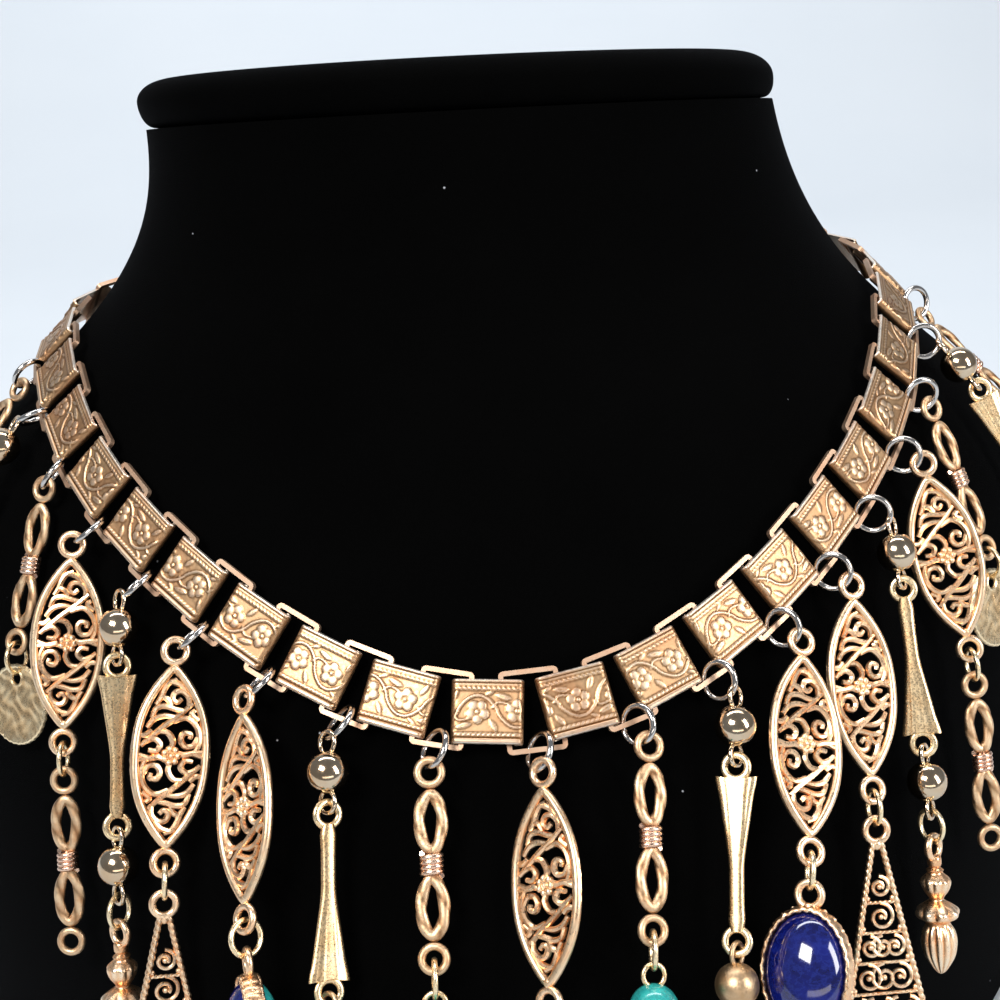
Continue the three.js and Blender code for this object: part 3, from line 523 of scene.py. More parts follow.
def is_clear(spots):
    """Whether a drop stays off the velvet at a few stations down each piece."""
    places, least = [], []
    for kind, turn, top, end, _, _ in spots:
        piece = KINDS[kind]
        need = reach_of(turn, piece["half_width"], piece["half_depth"]) + VELVET_GAP
        eye_reach = reach_of(turn, CAST_EYE["radius"] + CAST_EYE["wire"], piece["half_depth"])
        end_need = min(need, eye_reach + VELVET_GAP)
        last_need = end_need if piece["bottom"] > 0 else need
        places += [top + (end - top) * share for share in STATIONS]
        least += [end_need, need, need, need, last_need]
    return bool(np.all(foot_of(places)[2] > least))


def lay_out(drop):
    """Where each piece of a drop lies, with the least stand-off that keeps it off the velvet."""
    stand_off = VELVET_GAP + max(
        reach_of(turn, KINDS[kind]["half_width"], KINDS[kind]["half_depth"])
        for kind, turn, *_ in drop["chain"]
    )
    spots = place_drop(drop, stand_off)
    for _ in range(STAND_OFF["tries"]):
        if is_clear(spots):
            break
        stand_off += STAND_OFF["step"]
        spots = place_drop(drop, stand_off)
    return spots


# Finishes.


class Paint:
    """A material and short calls that add nodes to it."""

    def __init__(self, name):
        self.material = bpy.data.materials.new(name)
        self.material.use_nodes = True
        self.nodes = self.material.node_tree.nodes
        self.inputs = self.nodes["Principled BSDF"].inputs
        self.place = self.nodes.new("ShaderNodeTexCoord").outputs["Object"]

    def join(self, source, socket):
        self.material.node_tree.links.new(source, socket)

    def noise(self, scale, detail=3.0, roughness=0.55, place=None):
        node = self.nodes.new("ShaderNodeTexNoise")
        for socket, value in (("Scale", scale), ("Detail", detail), ("Roughness", roughness)):
            node.inputs[socket].default_value = value
        self.join(place or self.place, node.inputs["Vector"])
        return node.outputs["Fac"]

    def ramp(self, source, *stops):
        """Colour ramp: stops are position and colour."""
        node = self.nodes.new("ShaderNodeValToRGB")
        elements = node.color_ramp.elements
        while len(elements) < len(stops):
            elements.new(0.5)
        for element, (position, colour) in zip(elements, stops):
            element.position = position
            element.color = (*colour, 1)
        self.join(source, node.inputs["Fac"])
        return node.outputs["Color"]

    def span(self, source, low, high, from_low=0.3, from_high=0.7):
        """A number spread from one range onto another."""
        node = self.nodes.new("ShaderNodeMapRange")
        values = {"From Min": from_low, "From Max": from_high, "To Min": low, "To Max": high}
        for socket, value in values.items():
            node.inputs[socket].default_value = value
        self.join(source, node.inputs["Value"])
        return node.outputs["Result"]

    def bump(self, height, strength, distance):
        node = self.nodes.new("ShaderNodeBump")
        node.inputs["Strength"].default_value = strength
        node.inputs["Distance"].default_value = distance
        self.join(height, node.inputs["Height"])
        self.join(node.outputs["Normal"], self.inputs["Normal"])

    def mixed(self, factor, first, second, blend="MIX"):
        """Mix of a colour that comes from a node with a fixed colour."""
        factor_socket, first_socket, second_socket, result = 0, 6, 7, 2
        node = self.nodes.new("ShaderNodeMix")
        node.data_type = "RGBA"
        node.blend_type = blend
        self.join(factor, node.inputs[factor_socket])
        self.join(first, node.inputs[first_socket])
        node.inputs[second_socket].default_value = (*second, 1)
        return node.outputs[result]

    def finish(self, colour, roughness):
        self.join(colour, self.inputs["Base Color"])
        self.join(roughness, self.inputs["Roughness"])


def metal(name, dark, body, bright, tint, roughness=(0.18, 0.36), patches=260.0, grain=3200.0, dents=0.25):
    """Plated metal with painted shade in the recesses and a painted highlight on raised edges, with patches
    of another tint.
    """
    patch_strength, patch_range, dent_depth = 0.75, (0.42, 0.66), 0.00006
    paint = Paint(name)
    # The painted light of each point picks the colour: painted shade in hollows, painted highlight on raised
    # edges.
    lighter_tone = paint.nodes.new("ShaderNodeAttribute")
    lighter_tone.attribute_name = "painted_light"
    stained, fine = paint.noise(patches, 4.0), paint.noise(grain, 2.0)
    shade = paint.ramp(lighter_tone.outputs["Fac"], (0.0, dark), (0.5, body), (1.0, bright))
    patch = paint.span(stained, 0.0, patch_strength, *patch_range)
    paint.finish(paint.mixed(patch, shade, tint, "MULTIPLY"), paint.span(fine, *roughness))
    paint.bump(fine, dents, dent_depth)
    paint.inputs["Metallic"].default_value = 1
    return paint.material


def stone(name, deep, light, vein, roughness, veins, streak=(1.0, 1.0, 1.0)):
    """Polished stone with cloudy colour and thin veins."""
    none, full = (0, 0, 0), (0.6, 0.6, 0.6)
    paint = Paint(name)
    stretched = paint.nodes.new("ShaderNodeMapping")
    stretched.inputs["Scale"].default_value = streak
    paint.join(paint.place, stretched.inputs["Vector"])
    place = stretched.outputs["Vector"]
    cloud, line = paint.noise(320.0, 5.0, 0.6, place), paint.noise(520.0, 6.0, 0.7, place)
    colour = paint.ramp(cloud, (0.36, deep), (0.64, light))
    veined = paint.ramp(line, (0.0, none), (0.5 - veins, none), (0.5, full), (0.5 + veins, none))
    paint.finish(paint.mixed(veined, colour, vein), paint.span(cloud, roughness, roughness + 0.1))
    paint.inputs["Coat Weight"].default_value = 0.6
    paint.inputs["Coat Roughness"].default_value = 0.08
    return paint.material


def velvet(name):
    """Black pile with a faint bloom, crushed patches and a few specks of lint."""
    deep, lighter_tone, lint = (0.0003, 0.0003, 0.0003), (0.0007, 0.0007, 0.0007), (0.32, 0.33, 0.36)
    speck_scale, speck_size, speck_share = 150.0, (0.02, 0.035), (0.62, 0.64)
    paint = Paint(name)
    pile, crushed = paint.noise(5200.0, 2.0), paint.noise(24.0)
    base = paint.ramp(crushed, (0.3, deep), (0.7, lighter_tone))
    specks = paint.nodes.new("ShaderNodeTexVoronoi")
    specks.inputs["Scale"].default_value = speck_scale
    paint.join(paint.place, specks.inputs["Vector"])
    chance = paint.nodes.new("ShaderNodeSeparateColor")
    paint.join(specks.outputs["Color"], chance.inputs["Color"])
    both = paint.nodes.new("ShaderNodeMath")
    both.operation = "MULTIPLY"
    paint.join(paint.span(specks.outputs["Distance"], 1.0, 0.0, *speck_size), both.inputs[0])
    paint.join(paint.span(chance.outputs["Red"], 0.0, 1.0, *speck_share), both.inputs[1])
    paint.finish(paint.mixed(both.outputs["Value"], base, lint), paint.span(pile, 0.82, 1.0))
    paint.bump(pile, 0.6, 0.0003)
    paint.inputs["Specular IOR Level"].default_value = 0.02
    paint.inputs["Sheen Weight"].default_value = 0.004
    paint.inputs["Sheen Roughness"].default_value = 0.35
    paint.inputs["Sheen Tint"].default_value = (0.75, 0.8, 1.0, 1)
    return paint.material


# Each metal has its painted shade in the recesses, its colour on its faces and its painted highlight on
# raised edges, then the tint of its patches.
FINISHES = {
    "plate": metal(
        "stamped_rose_gold", (0.14, 0.06, 0.02), (0.56, 0.36, 0.2), (0.88, 0.82, 0.73), (1.0, 0.82, 0.74),
        roughness=(0.35, 0.5), patches=170.0, grain=1900.0, dents=0.2,
    ),
    "link": metal(
        "copper_wash", (0.25, 0.12, 0.06), (0.5, 0.33, 0.22), (0.8, 0.64, 0.5), (1.0, 0.82, 0.72),
        roughness=(0.42, 0.56), dents=0.06,
    ),
    "silver": metal(
        "nickel_silver", (0.1, 0.09, 0.09), (0.44, 0.42, 0.41), (0.74, 0.72, 0.7), (0.86, 0.8, 0.74),
        roughness=(0.08, 0.2), dents=0.05,
    ),
    "rim": metal(
        "polished_rim", (0.45, 0.24, 0.1), (0.8, 0.54, 0.32), (0.92, 0.72, 0.5), (1.0, 0.82, 0.7),
        roughness=(0.26, 0.42), patches=420.0, grain=1900.0, dents=0.1,
    ),
    "filigree": metal(
        "cast_rose_gold", (0.3, 0.13, 0.045), (0.9, 0.59, 0.35), (0.98, 0.81, 0.6), (1.0, 0.8, 0.68),
        roughness=(0.24, 0.4), dents=0.15,
    ),
    "matte": metal(
        "sanded_gold", (0.14, 0.07, 0.03), (0.58, 0.385, 0.225), (0.82, 0.62, 0.41), (0.82, 0.62, 0.5),
        roughness=(0.36, 0.58), patches=620.0, grain=1700.0, dents=0.8,
    ),
    "coil": metal(
        "pink_wire", (0.2, 0.08, 0.04), (0.66, 0.39, 0.26), (0.95, 0.75, 0.6), (1.0, 0.8, 0.74), dents=0.1,
    ),
    "pale": metal(
        "pale_satin_gold", (0.3, 0.18, 0.07), (0.84, 0.62, 0.36), (0.97, 0.84, 0.58), (1.0, 0.84, 0.68),
        roughness=(0.22, 0.4), dents=0.12,
    ),
    "champagne": metal(
        "champagne_polish", (0.2, 0.12, 0.07), (0.5, 0.37, 0.24), (0.86, 0.74, 0.58), (0.92, 0.78, 0.64),
        roughness=(0.06, 0.18), dents=0.05,
    ),
    "aged": metal(
        "aged_gold", (0.14, 0.07, 0.03), (0.46, 0.3, 0.17), (0.74, 0.55, 0.35), (0.8, 0.66, 0.5),
        roughness=(0.3, 0.5), dents=0.4,
    ),
    "lapis": stone(
        "lapis", (0.002, 0.003, 0.05), (0.004, 0.008, 0.12), (0.01, 0.02, 0.17), 0.02, 0.05, (0.8, 1.0, 1.2),
    ),
    "turquoise": stone("turquoise", (0.015, 0.24, 0.24), (0.035, 0.4, 0.37), (0.02, 0.12, 0.12), 0.12, 0.04),
    "velvet": velvet("black_velvet"),
}


# Bust and cap.


def closed_skin(rings):
    """Body from rings of points, closed by a fan at each end."""
    rows, sides = rings.shape[:2]
    points = rings.reshape(-1, 3)
    centres = np.array([rings[0].mean(0), rings[-1].mean(0)])
    top_rim, low_rim = np.arange(sides), (rows - 1) * sides + np.arange(sides)[::-1]
    tris = np.vstack([fan(top_rim, rows * sides), fan(low_rim, rows * sides + 1)])
    points = np.vstack([points, centres])
    return points, net(rows, sides, ring_columns=True), tris, np.full(len(points), MIDDLE_PAINTED_LIGHT)


BUST_SIDES = 192
BUST_ROWS = 120
# Below this depth the bust's rings lie level.
LEVEL_FROM_DEPTH = 56
# Rounded lower edge of the bust: depth, and how far the cloth is drawn in.
LOWER_EDGE = [(219.5, 0), (220.6, -0.35), (221.4, -1.1), (221.9, -2.2), (222, -3.4)]
# Section of the cap's edge: how far it is drawn in at its top and its bottom, and how full it is.
CAP_EDGE = {"top": 7.5, "bottom": 3.0, "fullness": 0.9, "rows": 25}


def tilted(turn, depth, outset, tilt):
    """Rings round the bust, which fall towards the front by a share of their reach."""
    level = bust_point(turn, depth, outset)
    return bust_point(turn, depth + tilt * level[..., 1], outset)


def make_bust():
    turn = circle(BUST_SIDES)[None, :]
    top = CAP_DEPTH + CAP_THICKNESS + CAP_GAP
    edge_depth, edge_outset = zip(*LOWER_EDGE)
    depth = np.concatenate([np.linspace(top, edge_depth[0], BUST_ROWS), edge_depth[1:]])[:, None]
    drawn_in = np.interp(depth, edge_depth, edge_outset)
    tilt = CAP_TILT * np.clip((LEVEL_FROM_DEPTH - depth) / (LEVEL_FROM_DEPTH - top), 0, 1)
    shape = Shape()
    shape.add(closed_skin(tilted(turn, depth, drawn_in, tilt)), "velvet")
    return shape.make("velvet_bust", "neck_bust")


def make_cap():
    turn = circle(BUST_SIDES)[None, :]
    angle = np.radians(np.linspace(-90, 90, CAP_EDGE["rows"]))
    down = (0.5 + 0.5 * np.sin(angle))[:, None]
    drawn = np.where(angle < 0, CAP_EDGE["top"], CAP_EDGE["bottom"])
    outset = (CAP_OVERHANG - drawn * (1 - np.cos(angle) ** CAP_EDGE["fullness"]))[:, None]
    rings = tilted(turn, CAP_DEPTH + down * CAP_THICKNESS, outset, CAP_TILT)
    shape = Shape()
    shape.add(closed_skin(rings), "velvet")
    return shape.make("velvet_cap", "neck_cap")


# Collar.

# Ends of a plate, rolled back into curls: centre of the roll, its radius, how far round it runs,
# the sheet's thickness, and points along the roll, the face and the back.
ROLL = {
    "x": 4.82, "out": 0.1, "radius": 1.15, "degrees": 205, "sheet": 0.42,
    "points": 26, "face": 12, "back": 44,
}


def rolled(radius):
    """Line of a plate's face seen from above, left to right: x across and how far out."""
    angle = np.radians(90 - np.linspace(0, ROLL["degrees"], ROLL["points"]))
    right = np.stack([ROLL["x"] + radius * np.cos(angle), ROLL["out"] + radius * np.sin(angle)], -1)
    left = right[::-1] * np.array([-1, 1])
    face = np.linspace(left[-1], right[0], ROLL["face"])[1:-1]
    return np.vstack([left, face, right])


# Relief of the stamped strip, in mm. Lips run along the plate: height up it, relief and half width.
LIPS = [(4.95, 0.2, 0.3), (4.32, 0.12, 0.3), (-4.78, 0.24, 0.5)]
# Rope borders: height up the plate and the side to which their strands lean.
ROPES = [(3.66, 1), (-3.76, -1)]
ROPE = {"relief": 0.2, "half_width": 0.36, "strand": 0.8, "lean": 0.9, "cut": 0.6}
VINE = {"period": 12.8, "reach": 2.55, "fullness": 0.75, "relief": 0.17, "half_width": 0.27}
# A flower stands at each half period, every other one upside down, with its leaves and stem.
FLOWER = {"petals": 5, "rise": 0.1, "petal_place": 1.12, "petal": 0.84, "relief": 0.19, "fullness": 0.7}
FLOWER_CENTRE = {"radius": 0.42, "relief": 0.22, "moat": 0.13, "moat_relief": 0.08}
# Leaves: place, lean in degrees, half length and half width.
LEAVES = [
    (2.6, 2.35, 60, 1.25, 0.5), (4.15, -2.35, 12, 1.45, 0.55),
    (-2.3, 2.3, 150, 1.15, 0.48), (2.0, -3.0, -25, 0.9, 0.36),
]
LEAF = {"relief": 0.17, "vein": 0.08, "vein_width": 0.12}
STEM = [(2.4, -0.6), (3.4, -1.5), (5.0, -1.2)]
STEM_WIRE = {"relief": 0.13, "half_width": 0.2}


def dome(distance, radius):
    return np.sqrt(np.clip(1 - (distance / radius) ** 2, 0, 1))


def distance_to(x, z, line):
    """Least distance from grid points to a polyline's points."""
    gaps = (x[..., None] - line[:, 0]) ** 2 + (z[..., None] - line[:, 1]) ** 2
    return np.sqrt(gaps.min(-1))


def leaf(x, z, lean, half_length, half_width):
    """Height of a pointed leaf with a sunk vein, and where it lies, on a grid about its middle."""
    angle = math.radians(lean)
    along = x * math.cos(angle) + z * math.sin(angle)
    across = z * math.cos(angle) - x * math.sin(angle)
    width = half_width * (1 - np.clip(along / half_length, -1, 1) ** 2)
    inside = (np.abs(along) < half_length) & (np.abs(across) < width)
    blade = LEAF["relief"] * (1 - (across / np.maximum(width, 0.05)) ** 2)
    return blade - LEAF["vein"] * np.exp(-((across / LEAF["vein_width"]) ** 2)), inside


def flower(height, x, z, stem):
    """Adds a flower with its leaves and stem to the relief, on a grid about the flower's place."""
    for angle in np.pi / 2 + circle(FLOWER["petals"]):
        gap_x = x - FLOWER["petal_place"] * math.cos(angle)
        gap_z = z - FLOWER["rise"] - FLOWER["petal_place"] * math.sin(angle)
        petal = dome(np.hypot(gap_x, gap_z), FLOWER["petal"]) ** FLOWER["fullness"]
        height = np.maximum(height, FLOWER["relief"] * petal)
    middle = np.hypot(x, z - FLOWER["rise"])
    radius = FLOWER_CENTRE["radius"]
    height = np.where(middle < radius + FLOWER_CENTRE["moat"], FLOWER_CENTRE["moat_relief"], height)
    height = np.maximum(height, FLOWER_CENTRE["relief"] * dome(middle, radius))
    for leaf_x, leaf_z, *form in LEAVES:
        blade, inside = leaf(x - leaf_x, z - leaf_z, *form)
        height = np.where(inside, np.maximum(height, blade), height)
    stalk = dome(distance_to(x, z, stem), STEM_WIRE["half_width"])
    return np.maximum(height, STEM_WIRE["relief"] * stalk)


def stamped(x, z, phase):
    """Height of the stamped strip: lips, rope borders, and a vine that winds under and over flowers."""
    period = VINE["period"]
    height = np.zeros_like(x)
    for line, relief, half_width in LIPS:
        height = np.maximum(height, relief * dome(z - line, half_width))
    for line, lean in ROPES:
        strands = np.abs(np.sin(np.pi * ((x + phase) / ROPE["strand"] + lean * (z - line) / ROPE["lean"])))
        cord = dome(z - line, ROPE["half_width"]) * (1 - ROPE["cut"] * (1 - strands))
        height = np.maximum(height, ROPE["relief"] * cord)
    along = (x + phase) % period
    steps = np.linspace(-1, period + 1, 160)
    wave = np.cos(2 * np.pi * steps / period)
    vine = np.stack([steps, -VINE["reach"] * np.sign(wave) * np.abs(wave) ** VINE["fullness"]], -1)
    height = np.maximum(height, VINE["relief"] * dome(distance_to(along, z, vine), VINE["half_width"]))
    stem = flat_curve(STEM, 10)
    for shift in (-1, 0, 1, 2, 3):
        height = flower(height, along - shift * period / 2, -z if shift % 2 else z, stem)
    return height


def hollows(height, reach=2):
    """How far each grid point stands over the points around it."""
    padded = np.pad(height, reach, "edge")
    rows, columns = height.shape
    spots = [(i, j) for i in range(2 * reach + 1) for j in range(2 * reach + 1)]
    around = sum(padded[i : i + rows, j : j + columns] for i, j in spots) / len(spots)
    return height - around


def even_steps(line, count):
    """Evenly spaced points along a line, and how far each lies from its middle."""
    arc = arc_of(line)
    steps = np.linspace(0, arc[-1], count)
    points = [np.interp(steps, arc, line[:, axis]) for axis in range(line.shape[1])]
    return np.stack(points, -1), steps - arc[-1] / 2


# Face of a plate: where its relief ends across, over what width it fades, its rounded edge and how far
# its ground lies below the solid's.
FACE = {"relief_ends": 5.9, "relief_fades": 0.6, "edge_drop": 0.22, "edge_width": 0.3, "sunk": 0.1}
# Painted light on a plate's face: its ground, more on raised relief, painted shade in hollows, painted
# highlight along the top and bottom edges, and its most elsewhere.
FACE_PAINTED_LIGHT = {"ground": 0.46, "by_height": 0.3, "by_hollow": 6.5, "bright_edge": 0.2, "most": 0.64}
# Share of the painted light that is left, by how far a place lies from the middle along the rolled sheet, so
# painted shade deepens round the rolled ends.
ROLL_PAINTED_LIGHT = [(4.4, 1), (6.4, 0.8), (7.4, 0.55), (8.6, 0.25)]
SHOWN_GRID, HIDDEN_GRID = (92, 66), (50, 34)


def plate(phase, columns, rows):
    """One stamped plate: a sheet rolled back at both ends, its face in low relief."""
    front, across = even_steps(rolled(ROLL["radius"]), columns)
    back, _ = even_steps(rolled(ROLL["radius"] - ROLL["sheet"])[::-1], ROLL["back"])
    slope = np.gradient(front, axis=0)
    normal = unit(np.stack([-slope[:, 1], slope[:, 0]], -1))
    z = np.linspace(-PLATE_HEIGHT / 2, PLATE_HEIGHT / 2, rows)
    grid_x, grid_z = np.meshgrid(across, z)
    height = stamped(grid_x, grid_z, phase)
    height = height * np.clip((FACE["relief_ends"] - np.abs(grid_x)) / FACE["relief_fades"], 0, 1)
    from_edge = PLATE_HEIGHT / 2 - np.abs(grid_z)
    rounded = FACE["edge_drop"] * np.clip(1 - from_edge / FACE["edge_width"], 0, 1) ** 2
    lift = height - rounded - FACE["sunk"]
    x = front[None, :, 0] + normal[None, :, 0] * lift
    out = front[None, :, 1] + normal[None, :, 1] * lift
    points = np.stack([x, -out, grid_z], -1).reshape(-1, 3)
    # Painted shade in the hollows of the relief, painted highlight on raised relief and along the top and
    # bottom edges, darkening to painted shade round the rolled ends.
    painted_light = FACE_PAINTED_LIGHT["ground"] + FACE_PAINTED_LIGHT["by_height"] * height + FACE_PAINTED_LIGHT["by_hollow"] * hollows(height)
    painted_light = np.where(from_edge < FACE_PAINTED_LIGHT["bright_edge"], 1.0, np.minimum(painted_light, FACE_PAINTED_LIGHT["most"]))
    painted_light = painted_light * np.interp(np.abs(grid_x), *zip(*ROLL_PAINTED_LIGHT))
    quads = net(rows, columns)
    ends = []
    for sign in (-1, 1):
        ends.append(np.stack([back[:, 0], -back[:, 1], np.full(len(back), sign * PLATE_HEIGHT / 2)], -1))
    start = len(points)
    points = np.vstack([points, *ends])
    back_quads = net(2, len(back)) + start
    low_front, low_back = np.arange(columns), start + np.arange(len(back))[::-1]
    high_front, high_back = low_front + (rows - 1) * columns, low_back + len(back)
    tris = np.vstack([strip(low_back, low_front), strip(high_front, high_back)])
    side_quads = []
    for front_edge, back_edge in ((columns - 1, 0), (0, len(back) - 1)):
        low_front_spot, high_front_spot = front_edge, front_edge + (rows - 1) * columns
        side_quads.append([low_front_spot, high_front_spot, start + len(back) + back_edge, start + back_edge])
    quads = np.vstack([quads, back_quads, np.array(side_quads)])
    painted_light = np.append(np.clip(painted_light, 0, 1).ravel(), np.full(2 * len(back), 0.8))
    return points, quads, tris, painted_light


def strip(first, second):
    """Triangles between two lines of point numbers with different counts."""
    tris = []
    i = j = 0
    while i < len(first) - 1 or j < len(second) - 1:
        ahead = (i + 1) / (len(first) - 1) if i < len(first) - 1 else 2
        behind = (j + 1) / (len(second) - 1) if j < len(second) - 1 else 2
        if ahead <= behind:
            tris.append([first[i], first[i + 1], second[j]])
            i += 1
        else:
            tris.append([first[i], second[j + 1], second[j]])
            j += 1
    return np.array(tris)


def connector(size):
    """Rectangular link of flat strip with round corners, in the X Z plane."""
    half_width, half_height = (size["width"] - BAR) / 2, (size["height"] - BAR) / 2
    path = []
    for quarter, (sx, sz) in enumerate(((1, 1), (-1, 1), (-1, -1), (1, -1))):
        for step in np.linspace(0, 90, 6):
            angle = math.radians(quarter * 90 + step)
            path.append((
                sx * (half_width - LINK_CORNER) + LINK_CORNER * math.cos(angle),
                sz * (half_height - LINK_CORNER) + LINK_CORNER * math.sin(angle),
            ))
    half_diagonal = BAR / math.sqrt(2)
    part = tube(flat(path), half_diagonal, 4, closed=True, depth=size["thickness"] / BAR, start=math.pi / 4)
    return moved(part, (0, size["inset"], 0))


def make_collar_half(side, name, node):
    shape = Shape()
    half = math.ceil(LINK_COUNT / 2) if side > 0 else LINK_COUNT // 2
    for i in range(half):
        grid = SHOWN_GRID if i + 0.5 <= LAST_FULL_LINK else HIDDEN_GRID
        part = plate(RANDOM.uniform(0, VINE["period"]), *grid)
        shape.add(part, "plate", link_place(side * (i + 0.5)))
    for i in range(1, half):
        shape.add(connector(CONNECTOR), "link", link_place(side * i))
    if side > 0:
        shape.add(connector(LOOSE), "link", link_place(0))
    return shape.make(name, node)


CLASP_BAR = {"reach": 6.1, "radius": 0.7}


def make_clasp():
    """Plain fastening at the nape: a loose link with a bar down its middle."""
    shape = Shape()
    place = link_place(-(LINK_COUNT // 2))
    shape.add(connector(LOOSE), "link", place)
    height = np.linspace(-CLASP_BAR["reach"], CLASP_BAR["reach"], 5)
    bar = tube(standing(0 * height, height), CLASP_BAR["radius"], 10)
    shape.add(moved(bar, (0, LOOSE["inset"], 0)), "link", place)
    return shape.make("clasp_link", "clasp")


# Pieces that hang. Each is drawn from the centre of its top eye downwards.


EYE_PAINTED_LIGHT = 0.72
SHEET_EYE = {"radius": 1.9, "wire": 0.6, "flatness": 0.6}


def add_eye(shape, place, z, finish="filigree"):
    """Heavy cast eye round the same hole as the solid's."""
    grown = CAST_EYE["heavy"] - CAST_EYE["wire"]
    eye = ring(CAST_EYE["radius"] + grown, CAST_EYE["heavy"], 30, 12, (0, 0, z))
    shape.add(eye, finish, place, EYE_PAINTED_LIGHT)


def add_flat_eye(shape, place, z, finish):
    """Eye of sheet: flatter than it is wide."""
    angle = circle(30)
    path = SHEET_EYE["radius"] * standing(np.cos(angle), np.sin(angle)) + np.array([0, 0, z])
    eye = tube(path, SHEET_EYE["wire"], 12, closed=True, depth=SHEET_EYE["flatness"])
    shape.add(eye, finish, place, EYE_PAINTED_LIGHT)


MARQUISE = {"body_top": 1.9, "body_length": 31, "half_width": 6.6, "fullness": 2.4, "rim": 0.74}
MARQUISE_LENGTH = MARQUISE["body_length"] + 2 * MARQUISE["body_top"]
# Rope round the rim: its wire, and how far it stands out across and along.
RIM_ROPE = {"wire": 0.26, "across": 0.6, "along": 0.24}
SCROLL = {"wire": 0.34, "swell": 0.2, "depth": 1.15}
ROSETTE = {"petals": 7, "place": 1.15, "petal": 0.62}
# Scrolls of the upper half, across and up from the middle. The lower half has them turned half round.
SCROLLS = [
    [(-5.0, 1.6), (-3.2, 3.2), (-1.0, 5.1), (1.2, 6.8), (3.3, 8.7)],
    [(0.2, 5.6), (2.4, 6.3), (4.2, 4.8), (4.7, 2.4), (4.1, 0.6)],
    [(4.4, 3.1), (3.6, 1.7), (2.3, 1.6), (1.6, 2.7), (2.1, 3.8), (3.2, 3.6), (3.1, 2.8)],
    [(-4.5, 2.1), (-2.9, 2.8), (-1.8, 1.9), (-2.4, 0.8), (-3.7, 0.9)],
    [(-5.4, -0.6), (-3.4, -0.4), (-1.8, 0.1)],
    [(0.0, 1.2), (0.3, 2.4), (-0.6, 3.8), (-2.1, 4.0)],
    [(-4.1, 4.6), (-3.0, 6.0), (-1.4, 6.6), (0.6, 6.4)],
    [(-3.4, 6.2), (-2.7, 7.8), (-1.2, 8.2), (0.6, 7.7), (1.8, 7.5)],
    [(2.7, 8.3), (2.6, 9.7), (1.5, 10.7), (0.3, 10.5), (-0.1, 9.4), (0.7, 8.9), (1.4, 9.5)],
    [(-2.8, 8.4), (-2.0, 9.7), (-1.6, 10.9), (-0.8, 12.1), (0.5, 12.7)],
    [(-2.3, 9.8), (-1.0, 9.4), (-0.3, 8.3)],
    [(2.1, 10.6), (1.2, 11.7), (0.0, 12.2), (-1.0, 12.1)],
    [(3.8, 7.6), (3.2, 6.9), (4.4, 5.9)],
    [(5.3, -0.2), (3.6, 0.4), (2.2, 0.2), (1.2, 0.5)],
    [(-5.2, 3.4), (-4.2, 3.4), (-3.3, 4.2)],
]


def marquise(shape, place):
    """Pointed oval of scrolls in a polished rim, with a rosette in the middle and a cast eye at each end."""
    middle = -MARQUISE_LENGTH / 2
    half = MARQUISE["body_length"] / 2 - MARQUISE["rim"]
    share = np.linspace(-1, 1, 41)
    across = (MARQUISE["half_width"] - MARQUISE["rim"]) * (1 - np.abs(share) ** MARQUISE["fullness"])
    right = np.stack([across, middle + half * share], -1)
    left = np.stack([-across[::-1], middle + half * share[::-1]], -1)
    outline = flat(np.vstack([right[:-1], left[:-1]]))
    shape.add(tube(outline, MARQUISE["rim"], 12, closed=True, depth=1.05), "rim", place, 0.85)
    outwards = unit(outline - np.array([0, 0, middle])) * np.array([RIM_ROPE["across"], 0, RIM_ROPE["along"]])
    rope = tube(outline + outwards, RIM_ROPE["wire"], 6, closed=True, rope=(2, 0.9, 0.45))
    shape.add(rope, "filigree", place)
    for scroll in SCROLLS:
        for turn in (1, -1):
            line = flat_curve(np.asarray(scroll) * turn + np.array([0, middle]), 6)
            radius = SCROLL["wire"] + SCROLL["swell"] * np.sin(np.pi * np.linspace(0.12, 0.88, len(line)))
            shape.add(tube(flat(line), radius, 7, depth=SCROLL["depth"]), "filigree", place, 0.6)
    for angle in circle(ROSETTE["petals"]):
        centre = (ROSETTE["place"] * math.cos(angle), 0, middle + ROSETTE["place"] * math.sin(angle))
        shape.add(ball(ROSETTE["petal"], centre, (1, 1.4, 1), 8, 10), "filigree", place, 0.8)
    shape.add(ring(0.72, 0.3, 18, 8, (0, 0, middle)), "filigree", place, 0.9)
    shape.add(ball(0.5, (0, 0, middle), (1, 1.9, 1), 8, 12), "filigree", place, 0.9)
    for end in (-1, 1):
        shape.add(ball(0.95, (0, 0, middle + end * half * 0.97), (1.1, 0.9, 0.8), 8, 12), "rim", place, 0.7)
    add_eye(shape, place, 0)
    add_eye(shape, place, -MARQUISE_LENGTH)


TWIST = {"length": 28.5, "eye_offset": 6.9, "half_width": 2.9, "wire": 1.0, "flatness": 0.7}
COIL = {"turns": 4.5, "radius": 1.5, "flatness": 0.75, "height": 3.5, "wire": 0.45, "core": 1.2}
# Right half of a long eye, from its outer end to the coil.
LONG_EYE = [(0, -4.8), (1.05, -3.8), (1.7, -1.7), (1.8, 0.4), (1.4, 2.3), (0.6, 3.6), (0, 3.9)]


